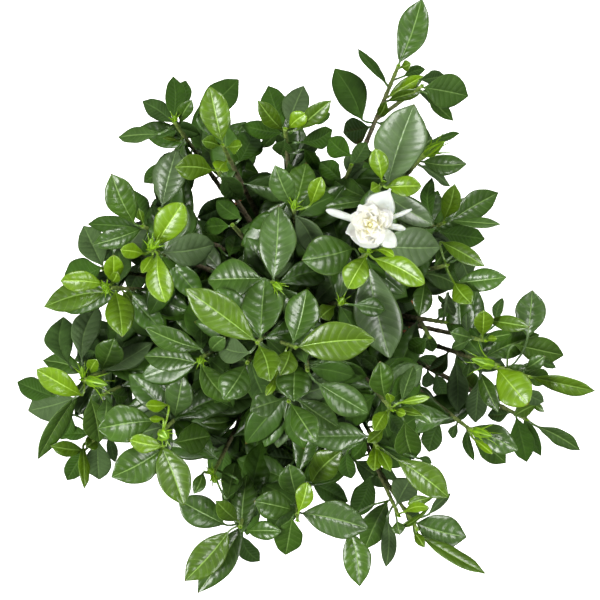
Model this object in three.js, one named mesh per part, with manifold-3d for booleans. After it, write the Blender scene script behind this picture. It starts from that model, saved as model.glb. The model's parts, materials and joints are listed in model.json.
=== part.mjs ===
// A gardenia bush in a plain clay pot, with one open double flower and many green buds.
// Millimetres, +Z up. The origin is the middle of the pot's flat bottom, and north is +Y.
import * as THREE from 'three';
import { mergeVertices } from 'three/addons/utils/BufferGeometryUtils.js';
import Module from 'manifold-3d';

const wasm = await Module();
wasm.setup();

// Pot and soil
const POT_HEIGHT = 165;
const POT_RIM_RADIUS = 95;
const POT_FOOT_RADIUS = 62;
const POT_WALL = 7;
const POT_FLOOR = 9;
const POT_BAND_HEIGHT = 30;
const POT_BAND_STEP = 5;
const POT_SIDES = 28;
const DRAIN_RADIUS = 6;
const DRAIN_RING = 33;
const DRAIN_COUNT = 3;
const SOIL_LEVEL = 148;
const SOIL_DOME = 5;
const GROUND = SOIL_LEVEL + SOIL_DOME + 1;
const SEAT_GAP = 0.3;
// Joining: the steps that points may be rounded to in a file, and the lift that keeps points apart
const FILE_STEPS = [0.001, 0.003, 0.006];
const JOIN_TOLERANCE = 0.005;
const HAIR = 0.012;
const HAIR_STEPS = 11;
const MOST_TRIES = 40;
const SAME_LENGTH = 0.0001;

// Wood: a few stems stand in the soil and branch to every shoot
const STEM_COUNT = 4;
const STEM_RING = 15;
const STEM_RADIUS = 6;
const STEM_TOP_RADIUS = 4;
const STEM_DEPTH = 55;
const STEM_TOP = 234;
const STEM_SPREAD = 16;
const STEM_SIDES = 7;
const BRANCH_RADIUS = 3.1;
const BRANCH_SIDES = 4;
const BRANCH_HIGHEST = 0.97;
const BRANCH_LOWEST = 0.16;

// Crown: the shoots end on a dome, and lean out from the middle
const CROWN_TOP = 420;
const CROWN_FALL = 0.0038;
const SHOOT_DROP = 118;
const SHOOT_LOWEST = 196;
const SHOOT_LEAN = 0.45;
const SHOOT_RADIUS = 2.1;
const SHOOT_TIP_RADIUS = 1.5;
const SHOOT_SIDES = 4;
const TWIG_RADIUS = 1.7;
const STUB_LENGTH = 11;
const STUB_RADIUS = 1.4;
const STUB_RAISE = 0.35;
const STUB_UPRIGHT = 0.9;
const FIRST_SEED = 101;

// Blades
const BLADE_THICKNESS = 0.9;
const BLADE_FOLD = 0.1;
const BLADE_ARCH = 0.1;
const STALK_HALF_WIDTH = 1.1;
const STALK_LENGTH = 4;
const STALK_RISE = 0.3;
const LONG_STALK = 8;
const SLENDER = 0.34;
const ROLL_LIMIT = 0.85;
const LEAF_STEP = 2.4;
const CLEARANCE = 0.45;
const BENDS = [0, 4, -4, 8, -8, 13, -13, 18, -18, 24, -24, 31, -31, 39, -39, 48, -48];
const FILL_BENDS = [0, -4, -8, -13, -18, -24, -31, 4, 8, -39, 13, 18, -48, 24];
const CUTS = [1, 0.88, 0.76];

// Leaves lower on each shoot: some close the crown as seen from above, and some clothe its sides
const FILL_FIRST = 30;
const FILL_STEP = 16;
const FILL_LEVELS = 5;
const FILL_TURNS = 6;
const FILL_LENGTH = 50;
const FILL_WIDTH = 0.44;
const FILL_PITCH = -30;
const FILL_PITCH_RANGE = 34;
const FILL_GAINS = [14, 9, 6, 5];
// A blade is measured at 45 places, and a lower leaf may lie over seen leaves at no more than this many
const MOST_HIDING = 4;
const SIDE_FIRST = 48;
const SIDE_STEP = 22;
const SIDE_PAIRS = 2;
const SIDE_MIDDLE = 150;
const SIDE_REACH = 200;
const CELL = 5;
// How far the closed crown reaches from the middle, for each step of 15 degrees from east
const CROWN_EDGE = [
  130, 145, 148, 145, 140, 125, 145, 150, 160, 165, 140, 165,
  175, 190, 185, 178, 165, 160, 185, 175, 160, 150, 165, 165,
];
// Places where the ground shows between the leaves from above: [low x, high x, low y, high y]
const CLEARINGS = [
  [-82, -66, 80, 100], [-62, -50, 80, 86], [-35, -18, 102, 120], [14, 40, 108, 120], [85, 103, 86, 104],
  [92, 108, -14, 0], [100, 120, -45, -20], [50, 60, -110, -98], [35, 47, -158, -140],
  [60, 75, -163, -150], [45, 53, -195, -165], [-90, -80, -155, -130], [-60, -50, -185, -168],
];

// Tones of leaf, from old to new
const D = 'dark';
const G = 'grey';
const M = 'mid';
const L = 'light';
const B = 'bright';
// The rise of a level-looking leaf in degrees, and the length and lean of one that looks short from above
const PITCH = { dark: -14, grey: -10, mid: 0, light: 10, bright: 24 };
const TRUE_LENGTH = { dark: 52, grey: 54, mid: 50, light: 46, bright: 26 };
const STEEPEST = 52;

// Shoots seen from above. A leaf is [base x, base y, tip x, tip y, width, tone], and a bud is
// [base x, base y, tip x, tip y, width]. A shoot with young set carries its bright leaves and its
// buds on a tip of its own.
const SHOOTS = {
  crown: {
    top: [-34, -34], lift: 6, lean: 0.42, twig: [-3.5, -38],
    leaves: [
      [-35, -33, -91.5, 9, 29, L], [-1, -38, 60, -31.5, 32, L], [-29.5, -34, -28, 18, 33, M],
      [-6.5, -37.5, 5.5, 9, 28, M], [-34.5, -35, -24, -65, 22, L], [-3, -39, -16, -60, 19, L],
      [-20, -62, -27, -76, 7, B], [-41, -42, -66.5, -36, 21, G],
    ],
  },
  crown_low: {
    top: [6, -56], lift: -24,
    leaves: [[-4, -50, -5, -81, 29, M], [15, -67, 55, -91, 25, M]],
  },
  flower: {
    top: [54, 37], lift: -4, young: true,
    leaves: [
      [52, 34, 38, 9, 21, B], [59, 33, 99.5, 13, 20, B], [61, 40, 75, 35, 7, B], [52, 37, 47, 41, 4.5, B],
      [42, 41, 1.5, 32, 33, M], [62, 44, 112.5, 42, 34, G], [54, 28, 72, -47, 37, G],
    ],
  },
  w_whorl: {
    top: [-117, 39], lift: 12, young: true,
    leaves: [
      [-115, 43.5, -93.5, 77.5, 25, B], [-114, 37, -107.5, -2, 22, B], [-125, 37, -143, 40, 13, B],
      [-118, 35, -126, 22, 10, B], [-113, 37, -68, 44.5, 27, G],
    ],
    buds: [[-117, 42, -119, 49, 6], [-115, 41, -112, 48, 5]],
  },
  sw_whorl: {
    top: [-109, -104], lift: 16, young: true,
    leaves: [
      [-106, -84, -123, -84, 10, B], [-110, -95, -120, -95, 6, B], [-109, -117, -136.5, -112, 15, B],
      [-117, -97, -162, -103, 31, M], [-110.2, -118, -92.7, -164.5, 27, L],
      [-109.8, -118.8, -151, -141.8, 30, M], [-99, -114, -71.5, -109, 25, M], [-104, -94, -94, -60, 23, M],
    ],
    buds: [[-109, -106, -106, -111, 10]],
  },
  middle: {
    top: [-22, 14], lift: -24,
    leaves: [[-21, 15, -17, 76, 30, M], [-31, 17, -74, 16, 32, M], [-10, 12, 16, -6, 17, L]],
    buds: [[-20, 12, -14, 8, 6]],
  },
  w_lime: {
    top: [-152, 10], lift: 10, young: true,
    leaves: [
      [-158, 13, -191.5, 15.5, 17, B], [-150, 14, -149, 36, 16, B], [-148, 10, -146, 22, 8.5, B],
      [-156, 6, -205, -5.5, 23, L], [-148, 8, -142, -29.5, 24, L], [-144, 9, -135, -2, 8, L],
      [-78, 12, -76, 24, 8, L],
    ],
    buds: [[-152, 10, -157, 12, 6], [-152, 9, -154, 5, 5]],
  },
  nnw_light: {
    top: [-62, 124], lift: 14,
    leaves: [
      [-64.2, 125, -72.2, 171, 24, L], [-58.8, 126.4, -78.3, 127, 11, L],
      [-63.5, 122.8, -46.5, 123.8, 12, L], [-81, 148, -49, 177, 25, D], [-33, 84, -47, 62, 20, D],
      [-52, 116, -65.5, 103, 14, B], [-48.2, 112, -37.4, 136, 24, D],
    ],
  },
  ne_long: {
    top: [79, 188], lift: 22, lean: 0.42, twig: [98, 172],
    leaves: [
      [84.5, 187.8, 98, 242, 25, M], [78.8, 190, 88.8, 189.8, 9, L], [69.5, 172, 46.8, 202.7, 8, D],
      [49.5, 146, 28, 187, 26, D], [59.2, 141, 34.7, 134.8, 22, D], [63.3, 140, 69.3, 159.5, 9, L],
      [69, 159.5, 99, 180, 12, B], [70, 157, 98, 168, 10, L], [84, 180, 101, 186, 9, D],
      [96, 176, 135.5, 164, 29, M], [90, 170, 118, 165, 13, D], [102.5, 165.2, 123.5, 144.2, 11, M],
      [97, 177, 117, 181, 12, D],
    ],
  },
  ne_whorl: {
    top: [65, 92], lift: 2, young: true,
    leaves: [
      [63.5, 95, 60, 121, 15.5, B], [69, 90, 97, 91, 17, B], [68, 93, 57, 88, 10, B],
      [70.5, 93.8, 91.5, 156.8, 41, G], [58, 80, 28, 96, 18, M], [59, 78.8, 20, 74.8, 9, M],
    ],
  },
  n_inner: {
    top: [-5, 73], lift: -4,
    leaves: [[-8, 73.5, -20, 107.5, 20, M], [-4, 74, 5, 110, 24, M], [9, 77, 17, 98, 14, B]],
    buds: [[-4, 70, -4, 80, 6]],
  },
  n_rim: {
    top: [-12, 137], lift: 4,
    leaves: [
      [-15, 133.8, -33.5, 159.3, 15, L], [-17.5, 137, 5, 149, 14, B], [-1.3, 137, 24.8, 159.5, 15, L],
      [-14, 140, -25.7, 172, 22, D], [-9, 142, 3, 172, 21, G], [6, 140, 24.5, 149.7, 12, D],
      [-16, 134, -47, 140.5, 15, D], [-13, 136, -16, 116, 18, D], [0, 118.5, 17, 128.5, 12, G],
      [2, 126.8, 26.2, 136.8, 17, D], [-18, 134, -31, 122, 9, D], [4, 120, 14, 104, 11, D],
    ],
  },
  nw_rim: {
    top: [-101, 143], lift: -6,
    leaves: [
      [-99.2, 138.8, -86.7, 160.3, 12, M], [-115, 133, -146.4, 131, 14, M], [-98, 128.2, -110, 130.2, 4, L],
      [-102, 147, -102, 180.2, 17, D], [-99, 146, -92, 177, 18, D], [-102.8, 143.2, -127, 160.2, 16, D],
      [-100, 140, -115.2, 129.8, 13, D], [-106.5, 139, -80, 133, 13, D], [-108, 112, -126, 94.5, 14, D],
    ],
    buds: [[-101, 143, -101, 148, 4]],
  },
  nnw_inner: {
    top: [-66, 104], lift: -2,
    leaves: [[-67.3, 105, -99.8, 106, 21, L], [-62, 103, -47, 80, 18, D], [-55.3, 84, -82.8, 66, 18, D]],
  },
  nw_grey: {
    top: [-112, 73], lift: -8,
    leaves: [[-112, 70.5, -99, 121, 27, G], [-57, 36, -52, 53, 15, D], [-80, 58, -60, 50, 12, D]],
  },
  wnw: {
    top: [-126, 59], lift: -8,
    leaves: [
      [-133, 62, -151, 101, 25, M], [-127, 61, -129, 73, 6, L], [-125, 55, -166, 44, 17, M],
      [-124, 62, -136.2, 89.5, 17, D], [-123, 60, -170.5, 61, 16, D],
    ],
  },
  w_far: {
    top: [-158, 25], lift: -22,
    leaves: [
      [-157, 27.8, -174, 59.8, 23, G], [-160, 26, -189.8, 20, 28, D], [-123, 30, -138, 6, 18, D],
      [-150, 42, -158, 31, 8, D],
    ],
  },
  wsw_far: {
    top: [-170, -62], lift: 8, young: true,
    leaves: [
      [-176, -76, -211, -55.8, 20, B], [-169, -62, -163, -48, 11, B], [-185.5, -50.5, -190.3, -13.3, 24, D],
      [-175, -46, -162.8, -4, 23, G], [-159, -61, -149, -31, 24, M], [-173.6, -58, -206.8, -48.5, 16, M],
      [-199.3, -77, -227.8, -66, 18, D], [-182, -79, -219, -89, 26, G], [-178, -76, -210.5, -128, 15, M],
      [-164, -42, -182, -49, 9, D],
    ],
    buds: [[-168, -65, -154, -68, 9], [-171, -60, -175, -53, 5]],
  },
  wsw_low: {
    top: [-158, -76], lift: -14,
    leaves: [
      [-155, -74, -158, -100, 14, M], [-168, -80, -161, -114.5, 24, M], [-155, -72, -138, -78, 14, D],
    ],
  },
  sw_far: {
    top: [-168, -114], lift: -8,
    leaves: [
      [-174, -121, -200, -117.3, 13, L], [-174, -117.8, -173, -151.3, 8.5, L],
      [-160, -110, -172, -118, 13, L], [-160, -112, -162, -145, 22, G], [-170, -108, -191.7, -108, 12, D],
      [-174, -122, -188, -145.5, 16, D], [-184.2, -93.2, -193, -112.7, 12, D], [-153, -106, -149, -131, 9, D],
    ],
  },
  w_inner: {
    top: [-79, -46], lift: -8,
    leaves: [
      [-80, -39, -124, -22, 20, M], [-84, -50, -125, -45, 23, M], [-76, -40, -60, -30, 14, M],
      [-79, -52, -56, -82, 20, M], [-79, -40, -79, -22, 10, D],
    ],
    buds: [[-79, -46, -80, -51, 6]],
  },
  sw_inner: {
    top: [-42, -50], lift: -30,
    leaves: [[-41, -50, -61, -79.5, 26, M], [-45, -52, -67, -36, 17, D]],
  },
  s_inner: {
    top: [-9, -81], lift: -26,
    leaves: [[-9, -84, 13, -114, 22, M], [0, -80.8, 32, -102.8, 20, M], [-15, -80, -40, -88, 20, M]],
  },
  e_core: {
    top: [32, -3], lift: -30,
    leaves: [[30, -5, 16, -14, 14, L], [44, -4, 68, -8, 16, D]],
    buds: [[32, -4, 35, 2, 6]],
  },
  nne_low: {
    top: [41, 108], lift: -26,
    leaves: [
      [38, 92, 16, 111.5, 17, D], [40.2, 116, 23, 130, 19, D], [34.5, 110.8, 53.5, 126.8, 14, D],
      [42.5, 95, 48.5, 118, 16, G],
    ],
  },
  ne_bud: {
    top: [98, 115], lift: -6,
    leaves: [[95, 111.5, 133.5, 109, 17, M], [93, 111, 121, 91.5, 8, G], [104.5, 127, 128.5, 134, 6, D]],
    buds: [[98, 116, 116, 127, 9]],
  },
  ene: {
    top: [115, 62], lift: -4,
    leaves: [
      [117, 64, 123.7, 92.5, 16, L], [122, 64.5, 159, 86, 22, M], [118, 64.2, 160.5, 60.7, 7, M],
      [105, 68, 106, 98.5, 12, D], [113.2, 54, 148.7, 49, 18, D],
    ],
  },
  e_upper: {
    top: [118, 28], lift: -14,
    leaves: [
      [114, 46, 147.5, 27, 14, L], [124, 13, 137.2, -3, 17, L], [126.8, 14, 165.3, 18.3, 19, M],
      [96, 15.5, 128, 11.5, 19, M], [100, 14, 95.5, -13, 17, M], [104, 32, 123, 44, 11, M],
      [126, 36, 137, 12.5, 18, G], [128, 33, 108, 22, 12, D],
    ],
  },
  e_twigs: {
    top: [117, -18], lift: -40, twig: [104, -30],
    leaves: [
      [119, 5.2, 124, -12.8, 11, G], [116, -4, 110.7, 4, 4, D], [108, -19, 118, -8.2, 9, D],
      [108, -30, 87, -40, 15, D], [98.8, -22, 106.8, -42, 12, D], [96, -6, 82, -20, 15, D],
    ],
  },
  e_lime: {
    top: [145, -32], lift: 6, young: true,
    leaves: [
      [144.5, -31, 147, -8.5, 16, B], [145, -31, 157, -31, 5, B], [151.5, -16.5, 183.5, -21.5, 13, L],
      [148, -38, 170, -27, 10, M], [141.3, -31.8, 120.3, -25.8, 12, M], [138.1, -36, 121.5, -38.8, 9, M],
      [158, -17, 162.5, 2, 9, D], [135, -28, 133.5, -10.5, 7, G],
    ],
  },
  e_far: {
    top: [155, -52], lift: 8, young: true, twig: [184, -62],
    leaves: [
      [155, -54, 182.5, -84, 29, B], [184, -68.5, 236.2, -73, 15, L], [173.5, -36, 212, -44.5, 22, M],
      [181, -55, 196, -45, 12, M], [180.8, -56, 200.3, -64, 15, M], [144, -57.5, 159, -90, 14, M],
      [131, -49, 134, -62.5, 10, M], [180, -74, 196, -82, 13, G], [125, -50, 127, -90, 18, G],
      [143.3, -66, 141.3, -99, 18, G], [190, -49.2, 206, -54.2, 7, D], [160, -52, 188, -56, 10, M],
      [150, -45, 192.5, -27.8, 22, M], [182.5, -30, 186.3, 8, 25, M], [120, -43, 104, -57, 13, D],
    ],
    buds: [[152, -50, 137, -47, 9]],
  },
  ese_far: {
    top: [182, -96], lift: -14,
    leaves: [
      [189.7, -84, 172, -93, 11, L], [191, -102, 225.7, -121, 13, M], [186.8, -83, 196.3, -90, 6, M],
      [173, -90.8, 183, -130.8, 19, D], [181, -94, 194.5, -126, 12, D], [172, -86, 151, -93, 12, D],
      [104, -50, 102, -71, 12, D], [95, -47, 114, -49, 9, D], [108, -58, 118, -80, 13, D],
      [136, -80, 124, -98, 13, D],
    ],
  },
  ese_whorl: {
    top: [134, -102], lift: 2, young: true,
    leaves: [
      [139, -111, 154, -123, 6, B], [134, -99, 175, -120.5, 22, M], [140, -112, 165.5, -131, 19, M],
      [134.2, -104, 139.7, -129.2, 8, D], [112, -99, 103.5, -122.5, 17, D], [124, -99, 122.5, -111.5, 8, D],
    ],
    buds: [[137, -103, 154, -109, 8]],
  },
  se_lime: {
    top: [72, -86], lift: 8, young: true,
    leaves: [
      [70.5, -87.5, 70, -75, 7, B], [69, -89, 59.5, -104, 13, B], [66, -103.7, 53.8, -113.6, 10, L],
      [80, -82, 103.5, -77.5, 7, B], [74, -86, 84, -91, 7, B], [73, -87, 98, -92, 7, L],
      [68, -82, 64, -49, 21, M], [82, -79, 91, -52.5, 12.5, M], [88, -84, 106, -99, 11, M],
      [84, -98, 91, -128, 22, M], [72, -92, 84, -108, 12, D], [62, -58, 48, -45, 12, D],
    ],
  },
  se_inner: {
    top: [62, -118], lift: -12,
    leaves: [
      [57, -114, 59.5, -136.5, 13, B], [67, -116, 72.5, -137, 10, L], [78, -128, 119.2, -158.2, 24, L],
      [52.5, -112, 40.3, -128, 12, D], [38, -122.2, 41.2, -143.7, 14, D], [95, -127, 106, -131, 6, D],
    ],
  },
  se_far: {
    top: [77, -168], lift: 4, young: true, twig: [94, -184],
    leaves: [
      [84, -170, 103, -166, 9, B], [75.5, -167, 89.5, -143, 23, G], [81, -182.5, 104, -166.3, 6, L],
      [96.9, -189, 149, -219.5, 12, L], [92, -187, 100, -198.5, 8, L],
      [84, -182, 134, -190.5, 28, M], [69.9, -162.5, 51.8, -201, 22, M], [78, -178, 80, -188.5, 11, M],
      [104, -171.7, 121.5, -155.5, 8, G], [69.7, -176.2, 69.2, -215.2, 13, G], [80, -166, 97, -176, 11, D],
      [56, -143.3, 43.2, -175.3, 20, D], [44.8, -130, 72, -150.5, 18, M], [40, -186.8, 48, -230, 23, M],
      [104, -159, 86, -164, 9, L], [71, -128, 79, -147, 9, D],
    ],
  },
  s_rim: {
    top: [-2, -172], lift: 4, young: true,
    leaves: [
      [2, -173, 6, -146, 15, B], [9, -147, 33.5, -121, 24, L], [-4, -175.5, 55.2, -183.5, 30, M],
      [-4, -174, -36.7, -161.3, 24, M], [-6.5, -175.8, -11.5, -205, 23, M], [-8, -160, -9, -131.5, 22, M],
      [0, -128, -26, -126, 17, M], [10.4, -147, 39, -162.5, 18, D],
    ],
  },
  ssw_rim: {
    top: [-48, -182], lift: 6,
    leaves: [
      [-58, -186.5, -92.5, -225.5, 26, L], [-52, -185.2, -67.2, -161.2, 15, L],
      [-61, -180, -98, -160, 26, M], [-46.5, -187.5, -42.5, -140, 23, M], [-42, -185.5, -15, -185.5, 16, M],
      [-46, -181.8, -82.2, -235.5, 23, M], [-46.2, -190, -32.2, -210.5, 15, D],
      [-48, -180, -33, -169, 9, D],
    ],
  },
  ssw_buds: {
    top: [-70, -140], lift: -16,
    leaves: [
      [-78, -139, -85, -155.2, 11, M], [-58, -158, -52, -130, 18, M], [-48, -95, -80, -99, 11, M],
      [-52, -120, -64, -140, 14, D], [-50, -146, -62, -163, 11, D],
    ],
    buds: [[-70, -140, -74, -135, 5], [-70, -141, -68, -147, 5]],
  },
  nw_core: {
    top: [-54, 60], lift: -36,
    leaves: [[-48, 66, -67, 80, 15, D], [-57, 60, -78, 58, 14, D]],
  },
};

// Flower: petals as [turn in degrees from east, length, width, rise in degrees], from the outside in
const FLOWER_CENTRE = [56, 60];
const FLOWER_RISE = 14;
const PETALS = [
  [158, 34, 10, 8], [62, 25, 24, 12], [20, 31, 8, 8], [2, 23, 8, 5], [-36, 21.5, 16, 10], [-92, 14.5, 20, 14],
  [189, 16, 16, 12], [236, 15, 18, 14], [124, 14, 16, 28], [32, 12, 16, 36], [96, 12, 15, 40],
  [165, 11, 15, 42], [235, 11, 15, 38], [305, 12, 15, 36], [60, 8, 11, 62], [180, 8, 11, 64],
  [300, 8, 10, 62],
];
const TUBE_RADII = [1.6, 2.6, 2.2, 2.4];
const PETAL_THICKNESS = 1.1;
const PETAL_CUP = 0.3;
const PETAL_NECK = 0.06;
const HEART_RADIUS = 6;
const BUD_LOBES = 3;
const LOBE_RADIUS = 1.3;

// Colours: [colour, roughness]
const CLAY = ['#b5714c', 0.85];
const SOIL = ['#3b2c21', 0.95];
const WOOD = ['#7d7460', 0.85];
const LEAF = ['#2f6b2c', 0.35];
const YOUNG = ['#86b32b', 0.35];
const PETAL = ['#f7f5ea', 0.55];

const radians = THREE.MathUtils.degToRad;
const point = (x, y, z) => new THREE.Vector3(x, y, z);

// Draws the same numbers every time
function seeded(seed) {
  let state = seed;
  return () => {
    state = (state * 16807) % 2147483647;
    return state / 2147483647;
  };
}

// Closed meshes and solids

function toSolid(geometry) {
  const bare = geometry.clone();
  bare.deleteAttribute('normal');
  bare.deleteAttribute('uv');
  const merged = mergeVertices(bare, 1e-5);
  const index = merged.index.array;
  const kept = [];
  for (let i = 0; i < index.length; i += 3) {
    const [a, b, c] = [index[i], index[i + 1], index[i + 2]];
    if (a !== b && b !== c && a !== c) kept.push(a, b, c);
  }
  const vertProperties = new Float32Array(merged.attributes.position.array);
  const triVerts = new Uint32Array(kept);
  return new wasm.Manifold(new wasm.Mesh({ numProp: 3, vertProperties, triVerts }));
}

function toGeometry(solid) {
  const mesh = solid.getMesh();
  const geometry = new THREE.BufferGeometry();
  geometry.setAttribute('position', new THREE.BufferAttribute(mesh.vertProperties, 3));
  geometry.setIndex(new THREE.BufferAttribute(mesh.triVerts, 1));
  geometry.computeVertexNormals();
  return geometry;
}

// Skins a row of rings, where a ring of one point ends the body in a tip. Each quad is split along its
// shorter diagonal, so that a turned blade doesn't fold over itself
function loft(rings) {
  const points = rings.flat();
  const positions = points.flatMap((p) => [p.x, p.y, p.z]);
  const starts = [];
  let count = 0;
  for (const ring of rings) {
    starts.push(count);
    count += ring.length;
  }
  const apart = (one, other) => points[one].distanceTo(points[other]);
  const faces = [];
  for (let k = 0; k + 1 < rings.length; k++) {
    const low = rings[k].length;
    const high = rings[k + 1].length;
    const sides = Math.max(low, high);
    for (let i = 0; i < sides; i++) {
      const j = (i + 1) % sides;
      const [a, b] = [starts[k] + (i % low), starts[k] + (j % low)];
      const [c, d] = [starts[k + 1] + (i % high), starts[k + 1] + (j % high)];
      if (a === b) faces.push(a, d, c);
      else if (c === d) faces.push(a, b, d);
      else if (apart(b, c) < apart(a, d) - SAME_LENGTH) faces.push(a, b, c, b, d, c);
      else faces.push(a, b, d, a, d, c);
    }
  }
  const last = rings.length - 1;
  for (let i = 1; i + 1 < rings[0].length; i++) faces.push(0, i + 1, i);
  const end = starts[last];
  for (let i = 1; i + 1 < rings[last].length; i++) faces.push(end, end + i, end + i + 1);
  const geometry = new THREE.BufferGeometry();
  geometry.setAttribute('position', new THREE.Float32BufferAttribute(positions, 3));
  geometry.setIndex(faces);
  return toSolid(geometry);
}

// A round limb along a curve, with a radius for each ring
function limb(curve, radii, sides, pointed = false) {
  const steps = radii.length - 1;
  const frames = curve.computeFrenetFrames(steps, false);
  const rings = radii.map((radius, k) => {
    const middle = curve.getPointAt(k / steps);
    return Array.from({ length: sides }, (_, i) => {
      const turn = (2 * Math.PI * (i + 0.5)) / sides;
      return middle.clone()
        .addScaledVector(frames.normals[k], radius * Math.cos(turn))
        .addScaledVector(frames.binormals[k], radius * Math.sin(turn));
    });
  });
  if (pointed) rings.push([curve.getPointAt(1).addScaledVector(frames.tangents[steps], 2 * radii[steps])]);
  return loft(rings);
}

// Even steps from one value to another, with both ends
function blend(from, to, steps) {
  return Array.from({ length: steps + 1 }, (_, k) => from + ((to - from) * k) / steps);
}

// Blades

// The middle line of a blade from its stalk to its tip, rising and then drooping
function bladeLine({ base, tip, arch }) {
  const bend = base.clone().lerp(tip, 0.4);
  bend.z = base.z + 0.55 * (tip.z - base.z) + arch * base.distanceTo(tip);
  return new THREE.QuadraticBezierCurve3(base, bend, tip);
}

// The level way square to a run from one point to another
const acrossWay = (from, to) => point(to.y - from.y, from.x - to.x, 0).normalize();

// The first ring is turned half way from the stalk to the blade
function ringWays({ root, base, tip }) {
  const blade = acrossWay(base, tip);
  const stalk = acrossWay(root, base);
  const first = blade.clone().add(stalk);
  return { first: first.length() > 0.5 ? first.normalize() : blade, rest: blade };
}

// Three points round the blade at one station: left edge, right edge and the keel under the midrib
function bladeRing(curve, leaf, across, station, halfWidth) {
  const middle = curve.getPoint(station);
  const along = curve.getTangent(station);
  const above = across.clone().cross(along).normalize();
  const side = across.clone().multiplyScalar(Math.cos(leaf.roll)).addScaledVector(above, Math.sin(leaf.roll));
  const out = above.multiplyScalar(Math.cos(leaf.roll)).addScaledVector(across, -Math.sin(leaf.roll));
  const edge = leaf.fold * halfWidth;
  return [
    middle.clone().addScaledVector(side, -halfWidth).addScaledVector(out, edge),
    middle.clone().addScaledVector(side, halfWidth).addScaledVector(out, edge),
    middle.clone().addScaledVector(out, -leaf.thickness),
  ];
}

// The share of the full width at a place between the stalk's end, 0, and the tip, 1
const leafOutline = (u) => Math.sin(Math.PI * u ** 0.98) ** 0.76;
const petalOutline = (u) => Math.sin(Math.PI * u ** 1.3) ** 0.6;

function bladeRings(leaf, stations) {
  const curve = bladeLine(leaf);
  const ways = ringWays(leaf);
  return stations.map((u) => {
    const halfWidth = Math.max(STALK_HALF_WIDTH, (leaf.width / 2) * leaf.outline(u));
    return bladeRing(curve, leaf, u < 0.1 ? ways.first : ways.rest, u, halfWidth);
  });
}

// Small blades have fewer stations than large ones
function bladeStations(leaf) {
  const { root, base, tip, width, filler } = leaf;
  const length = base.distanceTo(tip);
  const start = root.distanceTo(base) > LONG_STALK ? 0 : 0.08;
  if (length < 42 || width < 11 || filler) return [start, 0.5];
  if (length < 68) return [0, 0.3, 0.64];
  return [0, 0.24, 0.5, 0.76];
}

function bladeSolid(leaf) {
  const rings = bladeRings(leaf, bladeStations(leaf));
  return loft([[leaf.root], ...rings, [leaf.tip]]);
}

// The blade without its root, which tells whether two leaves of one shoot cross
function bladeOuter(leaf) {
  const rings = bladeRings(leaf, bladeStations(leaf).slice(1));
  return loft([...rings, [leaf.tip]]);
}

// Stems

const crownHeight = (x, y) => CROWN_TOP - CROWN_FALL * (x * x + y * y);

// A shoot's stem, from the end of its branch to its top
function shootCurve(shoot) {
  const [x, y] = shoot.top;
  const lean = shoot.lean ?? SHOOT_LEAN;
  const top = point(x, y, crownHeight(x, y) + shoot.lift);
  const foot = point(lean * x, lean * y, Math.max(top.z - SHOOT_DROP, SHOOT_LOWEST));
  const bend = point(0.84 * x, 0.84 * y, foot.z + 0.4 * (top.z - foot.z));
  return new THREE.QuadraticBezierCurve3(foot, bend, top);
}

// A side twig leaves the stem part way up and ends at the given place
function twigCurve(shoot, main) {
  const start = main.getPointAt(0.55);
  const [x, y] = shoot.twig;
  const end = point(x, y, Math.max(start.z + 12, main.getPointAt(1).z - 6));
  const bend = start.clone().lerp(end, 0.5).add(point(0, 0, -6));
  return new THREE.QuadraticBezierCurve3(start, bend, end);
}

// The place on the stems that lies nearest to a leaf's base in plan, with its distance from the stem's end
function nearestOnStems(curves, x, y) {
  let best = null;
  for (const curve of curves) {
    const length = curve.getLength();
    for (let k = 0; k <= 40; k++) {
      const p = curve.getPointAt(k / 40);
      const away = Math.hypot(p.x - x, p.y - y);
      if (!best || away < best.away) best = { curve, away, length, down: length * (1 - k / 40) };
    }
  }
  return best;
}

// Leaves

// A blade that looks narrow for its length from above is a wider one rolled on its axis
function rolled(width, reach, tone, draw) {
  if (tone === B) return { width, roll: 0 };
  const full = Math.max(width, SLENDER * reach);
  const roll = Math.min(ROLL_LIMIT, Math.acos(Math.min(1, width / full)));
  return { width: Math.min(full, width / Math.cos(roll)), roll: draw() < 0.5 ? -roll : roll };
}

// A leaf that looks short from above is one that stands up or hangs down
function leafPitch(row, rank) {
  const [baseX, baseY, tipX, tipY, , tone] = row;
  const seen = Math.min(1, Math.hypot(tipX - baseX, tipY - baseY) / TRUE_LENGTH[tone]);
  const lean = Math.min(STEEPEST, THREE.MathUtils.radToDeg(Math.acos(seen)));
  const down = tone === D || tone === G || (tone === M && rank % 2 === 1);
  return PITCH[tone] - 1.2 * rank + (down ? -0.8 * lean : 0.8 * lean);
}

// Where the blade leaves its stalk: at the place that was read, or a short stalk away from the stem where
// that place lies too near the stem, or beside the way to the tip
function stalkEnd(root, baseX, baseY, tip) {
  const offset = Math.hypot(baseX - root.x, baseY - root.y);
  const reach = Math.hypot(tip.x - root.x, tip.y - root.y);
  const shortest = Math.min(STALK_LENGTH, 0.3 * reach);
  const blade = Math.hypot(tip.x - baseX, tip.y - baseY);
  const along = (baseX - root.x) * (tip.x - baseX) + (baseY - root.y) * (tip.y - baseY);
  const ahead = along > 0.5 * offset * blade;
  const asRead = offset > LONG_STALK || (offset > shortest && ahead);
  const end = asRead ? point(baseX, baseY, 0) : root.clone().lerp(tip, shortest / reach);
  end.z = root.z + STALK_RISE * (asRead ? offset : shortest);
  return end;
}

function makeLeaf(root, row, pitch, draw) {
  const [baseX, baseY, tipX, tipY, width, tone] = row;
  const reach = Math.hypot(tipX - baseX, tipY - baseY);
  const tip = point(tipX, tipY, root.z + Math.tan(radians(pitch)) * reach);
  const shape = rolled(width, reach, tone, draw);
  return {
    root, base: stalkEnd(root, baseX, baseY, tip), tip, tone, width: shape.width, roll: shape.roll,
    fold: BLADE_FOLD, arch: BLADE_ARCH, thickness: BLADE_THICKNESS, outline: leafOutline,
  };
}

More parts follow.
